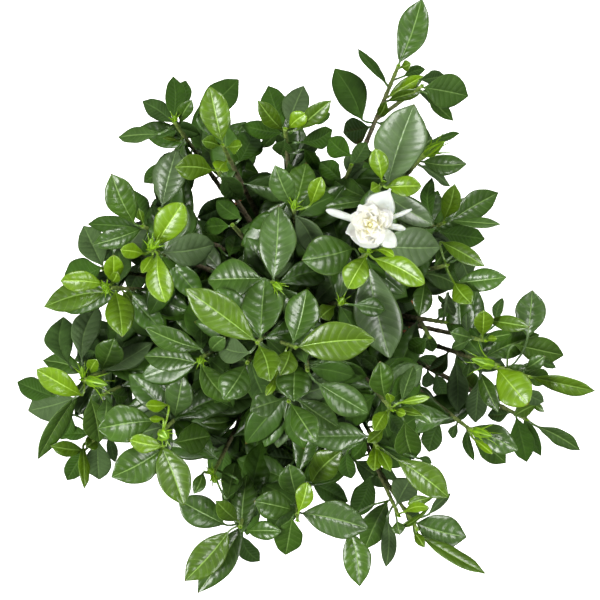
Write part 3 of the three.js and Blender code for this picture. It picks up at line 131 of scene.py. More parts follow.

# %% [markdown]
# ## What was read off the photograph
# Each shoot is a stem with a whorl of leaves at its top. Its line gives its name, the place of its
# top in plan and how far that is lifted above the dome of the crown; some lean in more, fork into a
# twig or carry a young green tip. The lines below it are its leaves as seen from above: the tone,
# where the blade begins, where its tip is, and how wide it looks. Buds come last: from, to, width.
# The list was read one leaf at a time, in millimetres from the pot's axis. The solids were
# built from the same list, so the fine leaves fall on the plain ones.

# %% The shoots, their leaves and their buds
DARK, GREY, MID, LIGHT, BRIGHT = "DGMLB"
READINGS = """
shoot crown -34 -34 6, lean 0.42, twig -3.5 -38
L -35 -33 -91.5 9 29, L -1 -38 60 -31.5 32, M -29.5 -34 -28 18 33, M -6.5 -37.5 5.5 9 28
L -34.5 -35 -24 -65 22, L -3 -39 -16 -60 19, B -20 -62 -27 -76 7, G -41 -42 -66.5 -36 21
shoot crown_low 6 -56 -24
M -4 -50 -5 -81 29, M 15 -67 55 -91 25
shoot flower 54 37 -4, young
B 52 34 38 9 21, B 59 33 99.5 13 20, B 61 40 75 35 7, B 52 37 47 41 4.5, M 42 41 1.5 32 33
G 62 44 112.5 42 34, G 54 28 72 -47 37
shoot w_whorl -117 39 12, young
B -115 43.5 -93.5 77.5 25, B -114 37 -107.5 -2 22, B -125 37 -143 40 13, B -118 35 -126 22 10
G -113 37 -68 44.5 27, bud -117 42 -119 49 6, bud -115 41 -112 48 5
shoot sw_whorl -109 -104 16, young
B -106 -84 -123 -84 10, B -110 -95 -120 -95 6, B -109 -117 -136.5 -112 15, M -117 -97 -162 -103 31
L -110.2 -118 -92.7 -164.5 27, M -109.8 -118.8 -151 -141.8 30, M -99 -114 -71.5 -109 25
M -104 -94 -94 -60 23, bud -109 -106 -106 -111 10
shoot middle -22 14 -24
M -21 15 -17 76 30, M -31 17 -74 16 32, L -10 12 16 -6 17, bud -20 12 -14 8 6
shoot w_lime -152 10 10, young
B -158 13 -191.5 15.5 17, B -150 14 -149 36 16, B -148 10 -146 22 8.5, L -156 6 -205 -5.5 23
L -148 8 -142 -29.5 24, L -144 9 -135 -2 8, L -78 12 -76 24 8, bud -152 10 -157 12 6
bud -152 9 -154 5 5
shoot nnw_light -62 124 14
L -64.2 125 -72.2 171 24, L -58.8 126.4 -78.3 127 11, L -63.5 122.8 -46.5 123.8 12
D -81 148 -49 177 25, D -33 84 -47 62 20, B -52 116 -65.5 103 14, D -48.2 112 -37.4 136 24
shoot ne_long 79 188 22, lean 0.42, twig 98 172
M 84.5 187.8 98 242 25, L 78.8 190 88.8 189.8 9, D 69.5 172 46.8 202.7 8, D 49.5 146 28 187 26
D 59.2 141 34.7 134.8 22, L 63.3 140 69.3 159.5 9, B 69 159.5 99 180 12, L 70 157 98 168 10
D 84 180 101 186 9, M 96 176 135.5 164 29, D 90 170 118 165 13, M 102.5 165.2 123.5 144.2 11
D 97 177 117 181 12
shoot ne_whorl 65 92 2, young
B 63.5 95 60 121 15.5, B 69 90 97 91 17, B 68 93 57 88 10, G 70.5 93.8 91.5 156.8 41
M 58 80 28 96 18, M 59 78.8 20 74.8 9
shoot n_inner -5 73 -4
M -8 73.5 -20 107.5 20, M -4 74 5 110 24, B 9 77 17 98 14, bud -4 70 -4 80 6
shoot n_rim -12 137 4
L -15 133.8 -33.5 159.3 15, B -17.5 137 5 149 14, L -1.3 137 24.8 159.5 15, D -14 140 -25.7 172 22
G -9 142 3 172 21, D 6 140 24.5 149.7 12, D -16 134 -47 140.5 15, D -13 136 -16 116 18
G 0 118.5 17 128.5 12, D 2 126.8 26.2 136.8 17, D -18 134 -31 122 9, D 4 120 14 104 11
shoot nw_rim -101 143 -6
M -99.2 138.8 -86.7 160.3 12, M -115 133 -146.4 131 14, L -98 128.2 -110 130.2 4
D -102 147 -102 180.2 17, D -99 146 -92 177 18, D -102.8 143.2 -127 160.2 16
D -100 140 -115.2 129.8 13, D -106.5 139 -80 133 13, D -108 112 -126 94.5 14
bud -101 143 -101 148 4
shoot nnw_inner -66 104 -2
L -67.3 105 -99.8 106 21, D -62 103 -47 80 18, D -55.3 84 -82.8 66 18
shoot nw_grey -112 73 -8
G -112 70.5 -99 121 27, D -57 36 -52 53 15, D -80 58 -60 50 12
shoot wnw -126 59 -8
M -133 62 -151 101 25, L -127 61 -129 73 6, M -125 55 -166 44 17, D -124 62 -136.2 89.5 17
D -123 60 -170.5 61 16
shoot w_far -158 25 -22
G -157 27.8 -174 59.8 23, D -160 26 -189.8 20 28, D -123 30 -138 6 18, D -150 42 -158 31 8
shoot wsw_far -170 -62 8, young
B -176 -76 -211 -55.8 20, B -169 -62 -163 -48 11, D -185.5 -50.5 -190.3 -13.3 24
G -175 -46 -162.8 -4 23, M -159 -61 -149 -31 24, M -173.6 -58 -206.8 -48.5 16
D -199.3 -77 -227.8 -66 18, G -182 -79 -219 -89 26, M -178 -76 -210.5 -128 15, D -164 -42 -182 -49 9
bud -168 -65 -154 -68 9, bud -171 -60 -175 -53 5
shoot wsw_low -158 -76 -14
M -155 -74 -158 -100 14, M -168 -80 -161 -114.5 24, D -155 -72 -138 -78 14
shoot sw_far -168 -114 -8
L -174 -121 -200 -117.3 13, L -174 -117.8 -173 -151.3 8.5, L -160 -110 -172 -118 13
G -160 -112 -162 -145 22, D -170 -108 -191.7 -108 12, D -174 -122 -188 -145.5 16
D -184.2 -93.2 -193 -112.7 12, D -153 -106 -149 -131 9
shoot w_inner -79 -46 -8
M -80 -39 -124 -22 20, M -84 -50 -125 -45 23, M -76 -40 -60 -30 14, M -79 -52 -56 -82 20
D -79 -40 -79 -22 10, bud -79 -46 -80 -51 6
shoot sw_inner -42 -50 -30
M -41 -50 -61 -79.5 26, D -45 -52 -67 -36 17
shoot s_inner -9 -81 -26
M -9 -84 13 -114 22, M 0 -80.8 32 -102.8 20, M -15 -80 -40 -88 20
shoot e_core 32 -3 -30
L 30 -5 16 -14 14, D 44 -4 68 -8 16, bud 32 -4 35 2 6
shoot nne_low 41 108 -26
D 38 92 16 111.5 17, D 40.2 116 23 130 19, D 34.5 110.8 53.5 126.8 14, G 42.5 95 48.5 118 16
shoot ne_bud 98 115 -6
M 95 111.5 133.5 109 17, G 93 111 121 91.5 8, D 104.5 127 128.5 134 6, bud 98 116 116 127 9
shoot ene 115 62 -4
L 117 64 123.7 92.5 16, M 122 64.5 159 86 22, M 118 64.2 160.5 60.7 7, D 105 68 106 98.5 12
D 113.2 54 148.7 49 18
shoot e_upper 118 28 -14
L 114 46 147.5 27 14, L 124 13 137.2 -3 17, M 126.8 14 165.3 18.3 19, M 96 15.5 128 11.5 19
M 100 14 95.5 -13 17, M 104 32 123 44 11, G 126 36 137 12.5 18, D 128 33 108 22 12
shoot e_twigs 117 -18 -40, twig 104 -30
G 119 5.2 124 -12.8 11, D 116 -4 110.7 4 4, D 108 -19 118 -8.2 9, D 108 -30 87 -40 15
D 98.8 -22 106.8 -42 12, D 96 -6 82 -20 15
shoot e_lime 145 -32 6, young
B 144.5 -31 147 -8.5 16, B 145 -31 157 -31 5, L 151.5 -16.5 183.5 -21.5 13, M 148 -38 170 -27 10
M 141.3 -31.8 120.3 -25.8 12, M 138.1 -36 121.5 -38.8 9, D 158 -17 162.5 2 9
G 135 -28 133.5 -10.5 7
shoot e_far 155 -52 8, young, twig 184 -62
B 155 -54 182.5 -84 29, L 184 -68.5 236.2 -73 15, M 173.5 -36 212 -44.5 22, M 181 -55 196 -45 12
M 180.8 -56 200.3 -64 15, M 144 -57.5 159 -90 14, M 131 -49 134 -62.5 10, G 180 -74 196 -82 13
G 125 -50 127 -90 18, G 143.3 -66 141.3 -99 18, D 190 -49.2 206 -54.2 7, M 160 -52 188 -56 10
M 150 -45 192.5 -27.8 22, M 182.5 -30 186.3 8 25, D 120 -43 104 -57 13, bud 152 -50 137 -47 9
shoot ese_far 182 -96 -14
L 189.7 -84 172 -93 11, M 191 -102 225.7 -121 13, M 186.8 -83 196.3 -90 6, D 173 -90.8 183 -130.8 19
D 181 -94 194.5 -126 12, D 172 -86 151 -93 12, D 104 -50 102 -71 12, D 95 -47 114 -49 9
D 108 -58 118 -80 13, D 136 -80 124 -98 13
shoot ese_whorl 134 -102 2, young
B 139 -111 154 -123 6, M 134 -99 175 -120.5 22, M 140 -112 165.5 -131 19
D 134.2 -104 139.7 -129.2 8, D 112 -99 103.5 -122.5 17, D 124 -99 122.5 -111.5 8
bud 137 -103 154 -109 8
shoot se_lime 72 -86 8, young
B 70.5 -87.5 70 -75 7, B 69 -89 59.5 -104 13, L 66 -103.7 53.8 -113.6 10, B 80 -82 103.5 -77.5 7
B 74 -86 84 -91 7, L 73 -87 98 -92 7, M 68 -82 64 -49 21, M 82 -79 91 -52.5 12.5
M 88 -84 106 -99 11, M 84 -98 91 -128 22, D 72 -92 84 -108 12, D 62 -58 48 -45 12
shoot se_inner 62 -118 -12
B 57 -114 59.5 -136.5 13, L 67 -116 72.5 -137 10, L 78 -128 119.2 -158.2 24
D 52.5 -112 40.3 -128 12, D 38 -122.2 41.2 -143.7 14, D 95 -127 106 -131 6
shoot se_far 77 -168 4, young, twig 94 -184
B 84 -170 103 -166 9, G 75.5 -167 89.5 -143 23, L 81 -182.5 104 -166.3 6, L 96.9 -189 149 -219.5 12
L 92 -187 100 -198.5 8, M 84 -182 134 -190.5 28, M 69.9 -162.5 51.8 -201 22, M 78 -178 80 -188.5 11
G 104 -171.7 121.5 -155.5 8, G 69.7 -176.2 69.2 -215.2 13, D 80 -166 97 -176 11
D 56 -143.3 43.2 -175.3 20, M 44.8 -130 72 -150.5 18, M 40 -186.8 48 -230 23, L 104 -159 86 -164 9
D 71 -128 79 -147 9
shoot s_rim -2 -172 4, young
B 2 -173 6 -146 15, L 9 -147 33.5 -121 24, M -4 -175.5 55.2 -183.5 30, M -4 -174 -36.7 -161.3 24
M -6.5 -175.8 -11.5 -205 23, M -8 -160 -9 -131.5 22, M 0 -128 -26 -126 17, D 10.4 -147 39 -162.5 18
shoot ssw_rim -48 -182 6
L -58 -186.5 -92.5 -225.5 26, L -52 -185.2 -67.2 -161.2 15, M -61 -180 -98 -160 26
M -46.5 -187.5 -42.5 -140 23, M -42 -185.5 -15 -185.5 16, M -46 -181.8 -82.2 -235.5 23
D -46.2 -190 -32.2 -210.5 15, D -48 -180 -33 -169 9
shoot ssw_buds -70 -140 -16
M -78 -139 -85 -155.2 11, M -58 -158 -52 -130 18, M -48 -95 -80 -99 11, D -52 -120 -64 -140 14
D -50 -146 -62 -163 11, bud -70 -140 -74 -135 5, bud -70 -141 -68 -147 5
shoot nw_core -54 60 -36
D -48 66 -67 80 15, D -57 60 -78 58 14
"""


def read_shoots(text):
    """The list as numbers, under the names of the shoots."""
    shoots = {}
    for entry in text.strip().replace("\n", ",").split(","):
        word, *rest = entry.split()
        if word == "shoot":
            name, *numbers = rest
            x, y, lift = map(float, numbers)
            shoot = shoots[name] = {"top": [x, y], "lift": lift, "leaves": [], "buds": []}
        elif word == "bud":
            shoot["buds"].append([float(number) for number in rest])
        elif word in (DARK, GREY, MID, LIGHT, BRIGHT):
            shoot["leaves"].append([float(number) for number in rest] + [word])
        else:
            shoot[word] = [float(number) for number in rest]
    return shoots


SHOOTS = read_shoots(READINGS)
print("shoots:", len(SHOOTS), "leaves read:", sum(len(s["leaves"]) for s in SHOOTS.values()))

# %% [markdown]
# ## Curves and repeatable chance
# Stems and midribs are bends through two ends and one point between them. Such a curve is walked by
# its own length, so that rings lie evenly along it. A plant also needs chance, such as which way a
# leaf rolls. The draws come from a seed, so the same bush grows on every run.

# %% A bend, and draws from a seed
CURVE_MARKS = 201
DRAW_STEP, DRAW_ROUND = 16807, 2147483647


class Bend:
    """A smooth line from start to end that leans towards the middle point."""

    def __init__(self, start, middle, end):
        self.marks = [np.array(p, float) for p in (start, middle, end)]
        self.grid = np.linspace(0, 1, CURVE_MARKS)
        steps = np.linalg.norm(np.diff(self.at(self.grid), axis=0), axis=1)
        self.walked = np.concatenate([[0], np.cumsum(steps)])
        self.length = self.walked[-1]

    def at(self, t):
        t = np.atleast_1d(np.asarray(t, float))[:, None]
        a, b, c = self.marks
        return (1 - t) ** 2 * a + 2 * t * (1 - t) * b + t * t * c

    def along(self, share):
        """The place at a share of the length."""
        return self.at(np.interp(np.asarray(share) * self.length, self.walked, self.grid))

    def way(self, t):
        t = np.atleast_1d(np.asarray(t, float))[:, None]
        a, b, c = self.marks
        slope = 2 * (1 - t) * (b - a) + 2 * t * (c - b)
        return slope / np.linalg.norm(slope, axis=1)[:, None]


def straight(start, end):
    """A bend that doesn't lean."""
    return Bend(start, (np.array(start, float) + np.array(end, float)) / 2, end)


def heading(turn):
    """The level way at an angle from +X."""
    return np.array([math.cos(turn), math.sin(turn), 0])


def unit(v):
    """The same way with a length of one."""
    return v / np.linalg.norm(v)


def seeded(state):
    """Gives a function that draws the next number between 0 and 1."""
    def draw():
        nonlocal state
        state = state * DRAW_STEP % DRAW_ROUND
        return state / DRAW_ROUND
    return draw


first_draw = seeded(7)
print("two draws:", first_draw(), first_draw())

# %% [markdown]
# ## How a shoot grows
# The tops of the shoots lie on a dome, and the stems lean out from the middle of the pot. Some
# shoots carry a young green tip of their own, and forked ones have a side twig. The rule is the one
# of the solids, so each fine stem runs down the middle of its plain one.

# %% The stems of a shoot
CROWN_TOP, CROWN_FALL = 420, 0.0038
SHOOT_DROP, SHOOT_LOWEST, SHOOT_LEAN = 118, 196, 0.45
BOW_OUT, BOW_UP = 0.84, 0.4
TWIG_FROM, TWIG_RISE, TWIG_BELOW_TOP, TWIG_SAG = 0.55, 12, 6, 6
SEAT_GAP, STUB_LENGTH, STUB_RAISE, STUB_UPRIGHT = 0.3, 11, 0.35, 0.9
FIRST_SEED = 101


def shoot_bend(reading):
    x, y = reading["top"]
    lean = reading.get("lean", [SHOOT_LEAN])[0]
    top = np.array([x, y, CROWN_TOP - CROWN_FALL * (x * x + y * y) + reading["lift"]])
    foot = np.array([lean * x, lean * y, max(top[2] - SHOOT_DROP, SHOOT_LOWEST)])
    return Bend(foot, [BOW_OUT * x, BOW_OUT * y, foot[2] + BOW_UP * (top[2] - foot[2])], top)


def twig_bend(reading, main):
    start = main.along(TWIG_FROM)[0]
    end = np.array([*reading["twig"], max(start[2] + TWIG_RISE, main.marks[2][2] - TWIG_BELOW_TOP)])
    return Bend(start, (start + end) / 2 + [0, 0, -TWIG_SAG], end)


def stub_bend(main):
    """The young green end of a stem, which stands more upright than the rest."""
    way = main.way(1)[0]
    upright = unit(np.array([way[0], way[1], max(way[2], STUB_UPRIGHT)]))
    start = main.marks[2] + way * (SEAT_GAP + STUB_RAISE)
    return straight(start, start + upright * STUB_LENGTH)


class Shoot:
    def __init__(self, name, reading, seed):
        self.name, self.reading = name, reading
        self.main = shoot_bend(reading)
        self.twig = twig_bend(reading, self.main) if "twig" in reading else None
        self.stub = stub_bend(self.main) if "young" in reading else None
        self.draw = seeded(seed)
        self.leaves = []


shoots = [Shoot(*item, FIRST_SEED + k) for k, item in enumerate(SHOOTS.items())]
print("highest shoot top:", max(s.main.marks[2][2] for s in shoots), "mm")

# %% [markdown]
# ## How a leaf hangs
# From above, a leaf that looks narrow for its length is one that has rolled on its axis, and a leaf
# that looks short is one that stands up or hangs down. Old leaves droop and young ones rise. Below
# the leaves that were read, each shoot bears older ones, whose places come from the draws.

# %% The leaves of a shoot, by the same rule as the solids
LEAF_STEP, LOWEST_SEAT, SEATS = 2.4, 0.8, 40
STALK_LENGTH, STALK_SHARE, LONG_STALK, STALK_RISE, AHEAD = 4, 0.3, 8, 0.3, 0.5
SLENDER, ROLL_LIMIT, STEEPEST = 0.34, 0.85, 52
PITCH = {DARK: -14, GREY: -10, MID: 0, LIGHT: 10, BRIGHT: 24}
RANK_DROOP, LEAN_SHARE = 1.2, 0.8
TRUE_LENGTH = {DARK: 52, GREY: 54, MID: 50, LIGHT: 46, BRIGHT: 26}
FILL_FIRST, FILL_STEP, FILL_LEVELS, FILL_TURNS, FILL_TWIST = 30, 16, 5, 6, 0.4
FILL_LENGTH, FILL_SMALLEST, FILL_SPREAD, FILL_WIDTH = 50, 0.85, 0.3, 0.44
FILL_PITCH, FILL_PITCH_RANGE, FILL_LOWEST, SIDE_LOWEST = -30, 34, 0.1, 0.08
SIDE_FIRST, SIDE_STEP, SIDE_PAIRS, SIDE_MIDDLE, SIDE_REACH = 48, 22, 2, 150, 200


def nearest(bends, x, y):
    """The bend that passes nearest to a place in plan, with the distance from its end."""
    found = None
    for bend in bends:
        for k, p in enumerate(bend.along(np.arange(SEATS + 1) / SEATS)):
            away = math.hypot(p[0] - x, p[1] - y)
            if found is None or away < found[0]:
                found = (away, bend, bend.length * (1 - k / SEATS))
    return found[1:]


def pitch_of(row, rank):
    """How far a leaf points up, in degrees, by its tone and by how short it looks."""
    tone = row[5]
    seen = min(1, math.dist(row[0:2], row[2:4]) / TRUE_LENGTH[tone])
    lean = min(STEEPEST, math.degrees(math.acos(seen)))
    down = tone in (DARK, GREY) or (tone == MID and rank % 2 == 1)
    return PITCH[tone] - RANK_DROOP * rank + (-LEAN_SHARE if down else LEAN_SHARE) * lean


def stalk_end(root, x, y, tip):
    """Where a blade leaves its stalk: as read, or near the stem if that lies beside the way."""
    offset = math.hypot(x - root[0], y - root[1])
    reach = math.hypot(tip[0] - root[0], tip[1] - root[1])
    shortest = min(STALK_LENGTH, STALK_SHARE * reach)
    blade = math.hypot(tip[0] - x, tip[1] - y)
    onward = (x - root[0]) * (tip[0] - x) + (y - root[1]) * (tip[1] - y)
    ahead = onward > AHEAD * offset * blade
    as_read = offset > LONG_STALK or (offset > shortest and ahead)
    end = np.array([x, y, 0.0]) if as_read else root + (tip - root) * shortest / reach
    end[2] = root[2] + STALK_RISE * (offset if as_read else shortest)
    return end


def hang_leaf(root, row, pitch, draw):
    """A leaf that looks as it was read, rolled where it looks too narrow for its length."""
    reach = math.dist(row[0:2], row[2:4])
    width, roll = row[4], 0.0
    if row[5] != BRIGHT:
        full = max(width, SLENDER * reach)
        roll = min(ROLL_LIMIT, math.acos(min(1, width / full)))
        width = min(full, width / math.cos(roll))
        roll = -roll if draw() < 0.5 else roll
    tip = np.array([row[2], row[3], root[2] + math.tan(math.radians(pitch)) * reach])
    return {"root": root, "base": stalk_end(root, row[0], row[1], tip), "tip": tip,
            "width": width, "roll": roll, "tone": row[5], "read": True}


def read_leaves(bends, rows, draw):
    used = {}
    leaves = []
    for rank, row in enumerate(rows):
        bend, down = nearest(bends, row[0], row[1])
        free = used.get(id(bend), LEAF_STEP)
        place = min(max(down, free), LOWEST_SEAT * bend.length)
        used[id(bend)] = free + LEAF_STEP
        root = bend.along(1 - place / bend.length)[0]
        leaves.append(hang_leaf(root, row, pitch_of(row, rank), draw))
    return leaves


def lower_leaf(root, turn, draw):
    size = FILL_LENGTH * (FILL_SMALLEST + FILL_SPREAD * draw())
    pitch = FILL_PITCH + FILL_PITCH_RANGE * draw()
    x, y = root[0] + size * math.cos(turn), root[1] + size * math.sin(turn)
    row = [root[0], root[1], x, y, size * FILL_WIDTH, DARK]
    return {**hang_leaf(root, row, pitch, draw), "read": False}


def closing_leaves(main, draw):
    """Rings of lower leaves, which close the crown below."""
    leaves = []
    for level in range(FILL_LEVELS):
        down = FILL_FIRST + FILL_STEP * level
        root = main.along(max(FILL_LOWEST, 1 - down / main.length))[0]
        for side in range(FILL_TURNS):
            turn = 2 * math.pi * (side + 0.5 * level) / FILL_TURNS + FILL_TWIST * draw()
            leaves.append(lower_leaf(root, turn, draw))
    return leaves


def side_leaves(main, draw):
    """Pairs of still lower leaves on the outer shoots, which close the sides."""
    start = draw() * math.pi
    top = main.marks[2]
    pairs = 0 if math.hypot(top[0], top[1]) < SIDE_MIDDLE else SIDE_PAIRS
    leaves = []
    for pair in range(pairs):
        down = SIDE_FIRST + SIDE_STEP * pair
        root = main.along(max(SIDE_LOWEST, 1 - down / main.length))[0]
        turns = [start + math.pi * (half + 0.5 * pair) for half in (0, 1)]
        leaves += [lower_leaf(root, turn, draw) for turn in turns]
    return [leaf for leaf in leaves if math.hypot(leaf["tip"][0], leaf["tip"][1]) < SIDE_REACH]


print("pitch of the first leaf:", pitch_of(SHOOTS["crown"]["leaves"][0], 0), "degrees")

# %% [markdown]
# ## Where each leaf settled
# On the solids, a leaf that would cross another was bent up or down, or cut shorter, until it hung
# clear. The tip of a plain leaf is a corner of its solid, and bending doesn't move it sideways. So
# the height of each tip is looked up at its place in plan. A lower leaf with no such corner found
# no room, and is left out.

# %% Look up the tips on the solids
CUTS = (1, 0.88, 0.76)
NEAR = 0.06

corners = {name: np.array([v.co for v in node.data.vertices]) / MM
           for name, node in frame["nodes"].items()}


def settled(leaf, node):
    """The leaf as it hangs on the solid, or None where the solid has no such leaf."""
    points = corners[node]
    for cut in CUTS:
        tip = leaf["root"] + (leaf["tip"] - leaf["root"]) * cut
        away = np.hypot(points[:, 0] - tip[0], points[:, 1] - tip[1])
        best = int(away.argmin())
        if away[best] < NEAR:
            tip[2] = points[best, 2]
            return {**leaf, "tip": tip, "width": leaf["width"] * math.sqrt(cut), "node": node}
    return {**leaf, "node": node} if leaf["read"] else None


for shoot in shoots:
    rows = shoot.reading["leaves"]
    young = [row for row in rows if shoot.stub and row[5] == BRIGHT]
    bends = [shoot.main] + ([shoot.twig] if shoot.twig else [])
    young_leaves = read_leaves([shoot.stub], young, shoot.draw)
    old_leaves = read_leaves(bends, [row for row in rows if row not in young], shoot.draw)
    old_leaves += closing_leaves(shoot.main, shoot.draw) + side_leaves(shoot.main, shoot.draw)
    placed = [settled(leaf, f"young_{shoot.name}") for leaf in young_leaves]
    placed += [settled(leaf, f"shoot_{shoot.name}") for leaf in old_leaves]
    shoot.leaves = [leaf for leaf in placed if leaf]
print("leaves:", sum(len(s.leaves) for s in shoots),
      "lower ones:", sum(not leaf["read"] for s in shoots for leaf in s.leaves))

# %% [markdown]
# ## Leaves deep in the crown
# A shrub is closed by old dark leaves that hang below the ones in the light. They aren't on the
# plain solids, which have to stay simple. Each stem bears whorls of three down its length. A leaf
# is kept when it is clear of all others, stays inside the crown, and hides none of the places where
# the photograph shows the ground.

# %% Fill the crown with old leaves
BLADE_ARCH, ARCH_AT, ARCH_RISE = 0.1, 0.4, 0.55
CHANCE_SEED = 11
WHORL_FIRST, WHORL_STEP, WHORL_LOWEST, WHORL_LEAVES, WHORL_TURN = 16, 11, 0.96, 3, 2.1
WHORL_NUDGES = (0, 0.5, -0.5)
DEEP_LENGTH, DEEP_WIDTH, DEEP_PITCH, DEEP_DROOP = (40, 60), (0.4, 0.5), (-48, 6), 10
DEEP_CLEAR, DEEP_LOWEST, DEEP_ROLL, DEEP_DARK_SHARE = 2.6, 172, 0.25, 0.8
PLAN_HALF, PLAN_CELL, MOST_HIDING = 260, 4, 0.06
CROWN_EDGE = [
    130, 145, 148, 145, 140, 125, 145, 150, 160, 165, 140, 165,
    175, 190, 185, 178, 165, 160, 185, 175, 160, 150, 165, 165,
]
CLEARINGS = np.array([
    [-82, -66, 80, 100], [-62, -50, 80, 86], [-35, -18, 102, 120], [14, 40, 108, 120],
    [85, 103, 86, 104], [92, 108, -14, 0], [100, 120, -45, -20], [50, 60, -110, -98],
    [35, 47, -158, -140], [60, 75, -163, -150], [45, 53, -195, -165], [-90, -80, -155, -130],
    [-60, -50, -185, -168],
])
MARK_LINES, FIRST_MARK, LAST_WIDE = (-0.9, -0.45, 0, 0.45, 0.9), 0.1, 0.999
MARK_ROWS, SEEN_ROWS, FREE_MARKS = 6, 12, 12


def blade_bend(leaf):
    """The middle line of a blade, from its stalk to its tip, and the length between the two."""
    base, tip = leaf["base"], leaf["tip"]
    reach = np.linalg.norm(tip - base)
    middle = base + ARCH_AT * (tip - base)
    middle[2] = base[2] + ARCH_RISE * (tip[2] - base[2]) + BLADE_ARCH * reach
    return Bend(base, middle, tip), reach


def across_way(start, end):
    """The level way square to a run, or nothing for a run with no length in plan."""
    way = np.array([end[1] - start[1], start[0] - end[0], 0.0])
    return way / max(np.linalg.norm(way), 1e-6)


def blade_marks(leaf, count=MARK_ROWS):
    """A few places on a blade, which stand for it when distances are measured."""
    bend, _ = blade_bend(leaf)
    across = across_way(leaf["base"], leaf["tip"])
    across = across * math.cos(leaf["roll"]) + np.array([0, 0, math.sin(leaf["roll"])])
    t = np.linspace(FIRST_MARK, 1, count)
    oval = np.sin(np.pi * np.minimum(t, LAST_WIDE) ** 0.9) ** 0.7
    half, middle = 0.5 * leaf["width"] * oval, bend.at(t)
    return np.concatenate([middle + line * half[:, None] * across for line in MARK_LINES])


def in_crown(marks):
    turn = (np.arctan2(marks[:, 1], marks[:, 0]) / (2 * np.pi) % 1) * len(CROWN_EDGE)
    edge = np.interp(turn, np.arange(len(CROWN_EDGE) + 1), CROWN_EDGE + CROWN_EDGE[:1])
    return bool(np.all(np.hypot(marks[:, 0], marks[:, 1]) < edge))


def hides_clearing(marks):
    x, y = marks[:, :1], marks[:, 1:2]
    west, east, south, north = CLEARINGS.T
    return bool(np.any((x > west) & (x < east) & (y > south) & (y < north)))


class Crowd:
    """The leaves that stand, and for each cell of the plan the height of a read leaf over it."""

    def __init__(self, leaves):
        self.marks = np.concatenate([blade_marks(leaf) for leaf in leaves])
        side = int(2 * PLAN_HALF / PLAN_CELL) + 1
        self.seen = np.full((side, side), -np.inf)
        for leaf in leaves:
            if leaf["read"]:
                marks = blade_marks(leaf, SEEN_ROWS)
                x, y = self.cells(marks)
                self.seen[x, y] = np.maximum(self.seen[x, y], marks[:, 2])
        self.seen[np.isinf(self.seen)] = np.inf

    def cells(self, marks):
        return ((marks[:, :2] + PLAN_HALF) / PLAN_CELL).astype(int).T

    def hides_seen(self, marks):
        x, y = self.cells(marks)
        return np.mean(marks[:, 2] > self.seen[x, y]) > MOST_HIDING

    def clear_of(self, marks):
        """Tells if a blade is clear of the others. Only its first edge may lie against one."""
        low, high = marks.min(0) - DEEP_CLEAR, marks.max(0) + DEEP_CLEAR
        close = self.marks[np.all((self.marks > low) & (self.marks < high), axis=1)]
        away = np.linalg.norm(marks[FREE_MARKS:, None] - close[None], axis=2)
        return len(close) == 0 or away.min() > DEEP_CLEAR


def deep_leaf(root, turn, share):
    size = chance.uniform(*DEEP_LENGTH)
    pitch = chance.uniform(*DEEP_PITCH) - DEEP_DROOP * share
    x, y = root[0] + size * math.cos(turn), root[1] + size * math.sin(turn)
    tip = np.array([x, y, root[2] + size * math.tan(math.radians(pitch))])
    tip = root + (tip - root) * size / np.linalg.norm(tip - root)
    tone = DARK if chance.uniform() < DEEP_DARK_SHARE else GREY
    return {"root": root, "base": stalk_end(root, root[0], root[1], tip), "tip": tip,
            "width": size * chance.uniform(*DEEP_WIDTH), "roll": chance.normal(0, DEEP_ROLL),
            "tone": tone, "read": False, "deep": True}


def clothe(shoot, crowd):
    """Hangs whorls of old leaves down a stem, each turned a little where it finds no room."""
    count, down, length = 0, WHORL_FIRST, shoot.main.length
    start = chance.uniform(0, 2 * math.pi)
    while down < length * WHORL_LOWEST:
        root = shoot.main.along(1 - down / length)[0]
        for k in range(WHORL_LEAVES):
            for nudge in WHORL_NUDGES:
                turn = start + 2 * math.pi * k / WHORL_LEAVES + nudge
                leaf = deep_leaf(root, turn, down / length)
                marks = blade_marks(leaf)
                if (leaf["tip"][2] > DEEP_LOWEST and in_crown(marks) and not hides_clearing(marks)
                        and not crowd.hides_seen(marks) and crowd.clear_of(marks)):
                    crowd.marks = np.concatenate([crowd.marks, marks])
                    shoot.leaves.append({**leaf, "node": f"shoot_{shoot.name}"})
                    count += 1
                    break
        start += WHORL_TURN
        down += WHORL_STEP
    return count


chance = np.random.default_rng(CHANCE_SEED)
crowd = Crowd([leaf for shoot in shoots for leaf in shoot.leaves])
print("old leaves deep in the crown:", sum(clothe(shoot, crowd) for shoot in shoots))

# %% [markdown]
# ## Paint from nodes
# Every finish here is a tree of shader nodes that reads a few numbers kept on the mesh, such as how
# far a point is across a blade and along it. The classes below give short words for the nodes that
# the finishes need. Two effects are used by several finishes, so each is a node group with named
# sockets: the ribs of a blade, and a soft mottle. The shaders themselves stay in the materials.

# %% Short words for node trees
MIX_SHARE, MIX_FIRST, MIX_SECOND, MIX_RESULT = 0, 6, 7, 2


def srgb(red, green, blue):
    """A colour as a screen shows it, 0 to 255, in the light values that shaders use."""
    shown = [part / 255 for part in (red, green, blue)]
    return *(c / 12.92 if c <= 0.04045 else ((c + 0.055) / 1.055) ** 2.4 for c in shown), 1


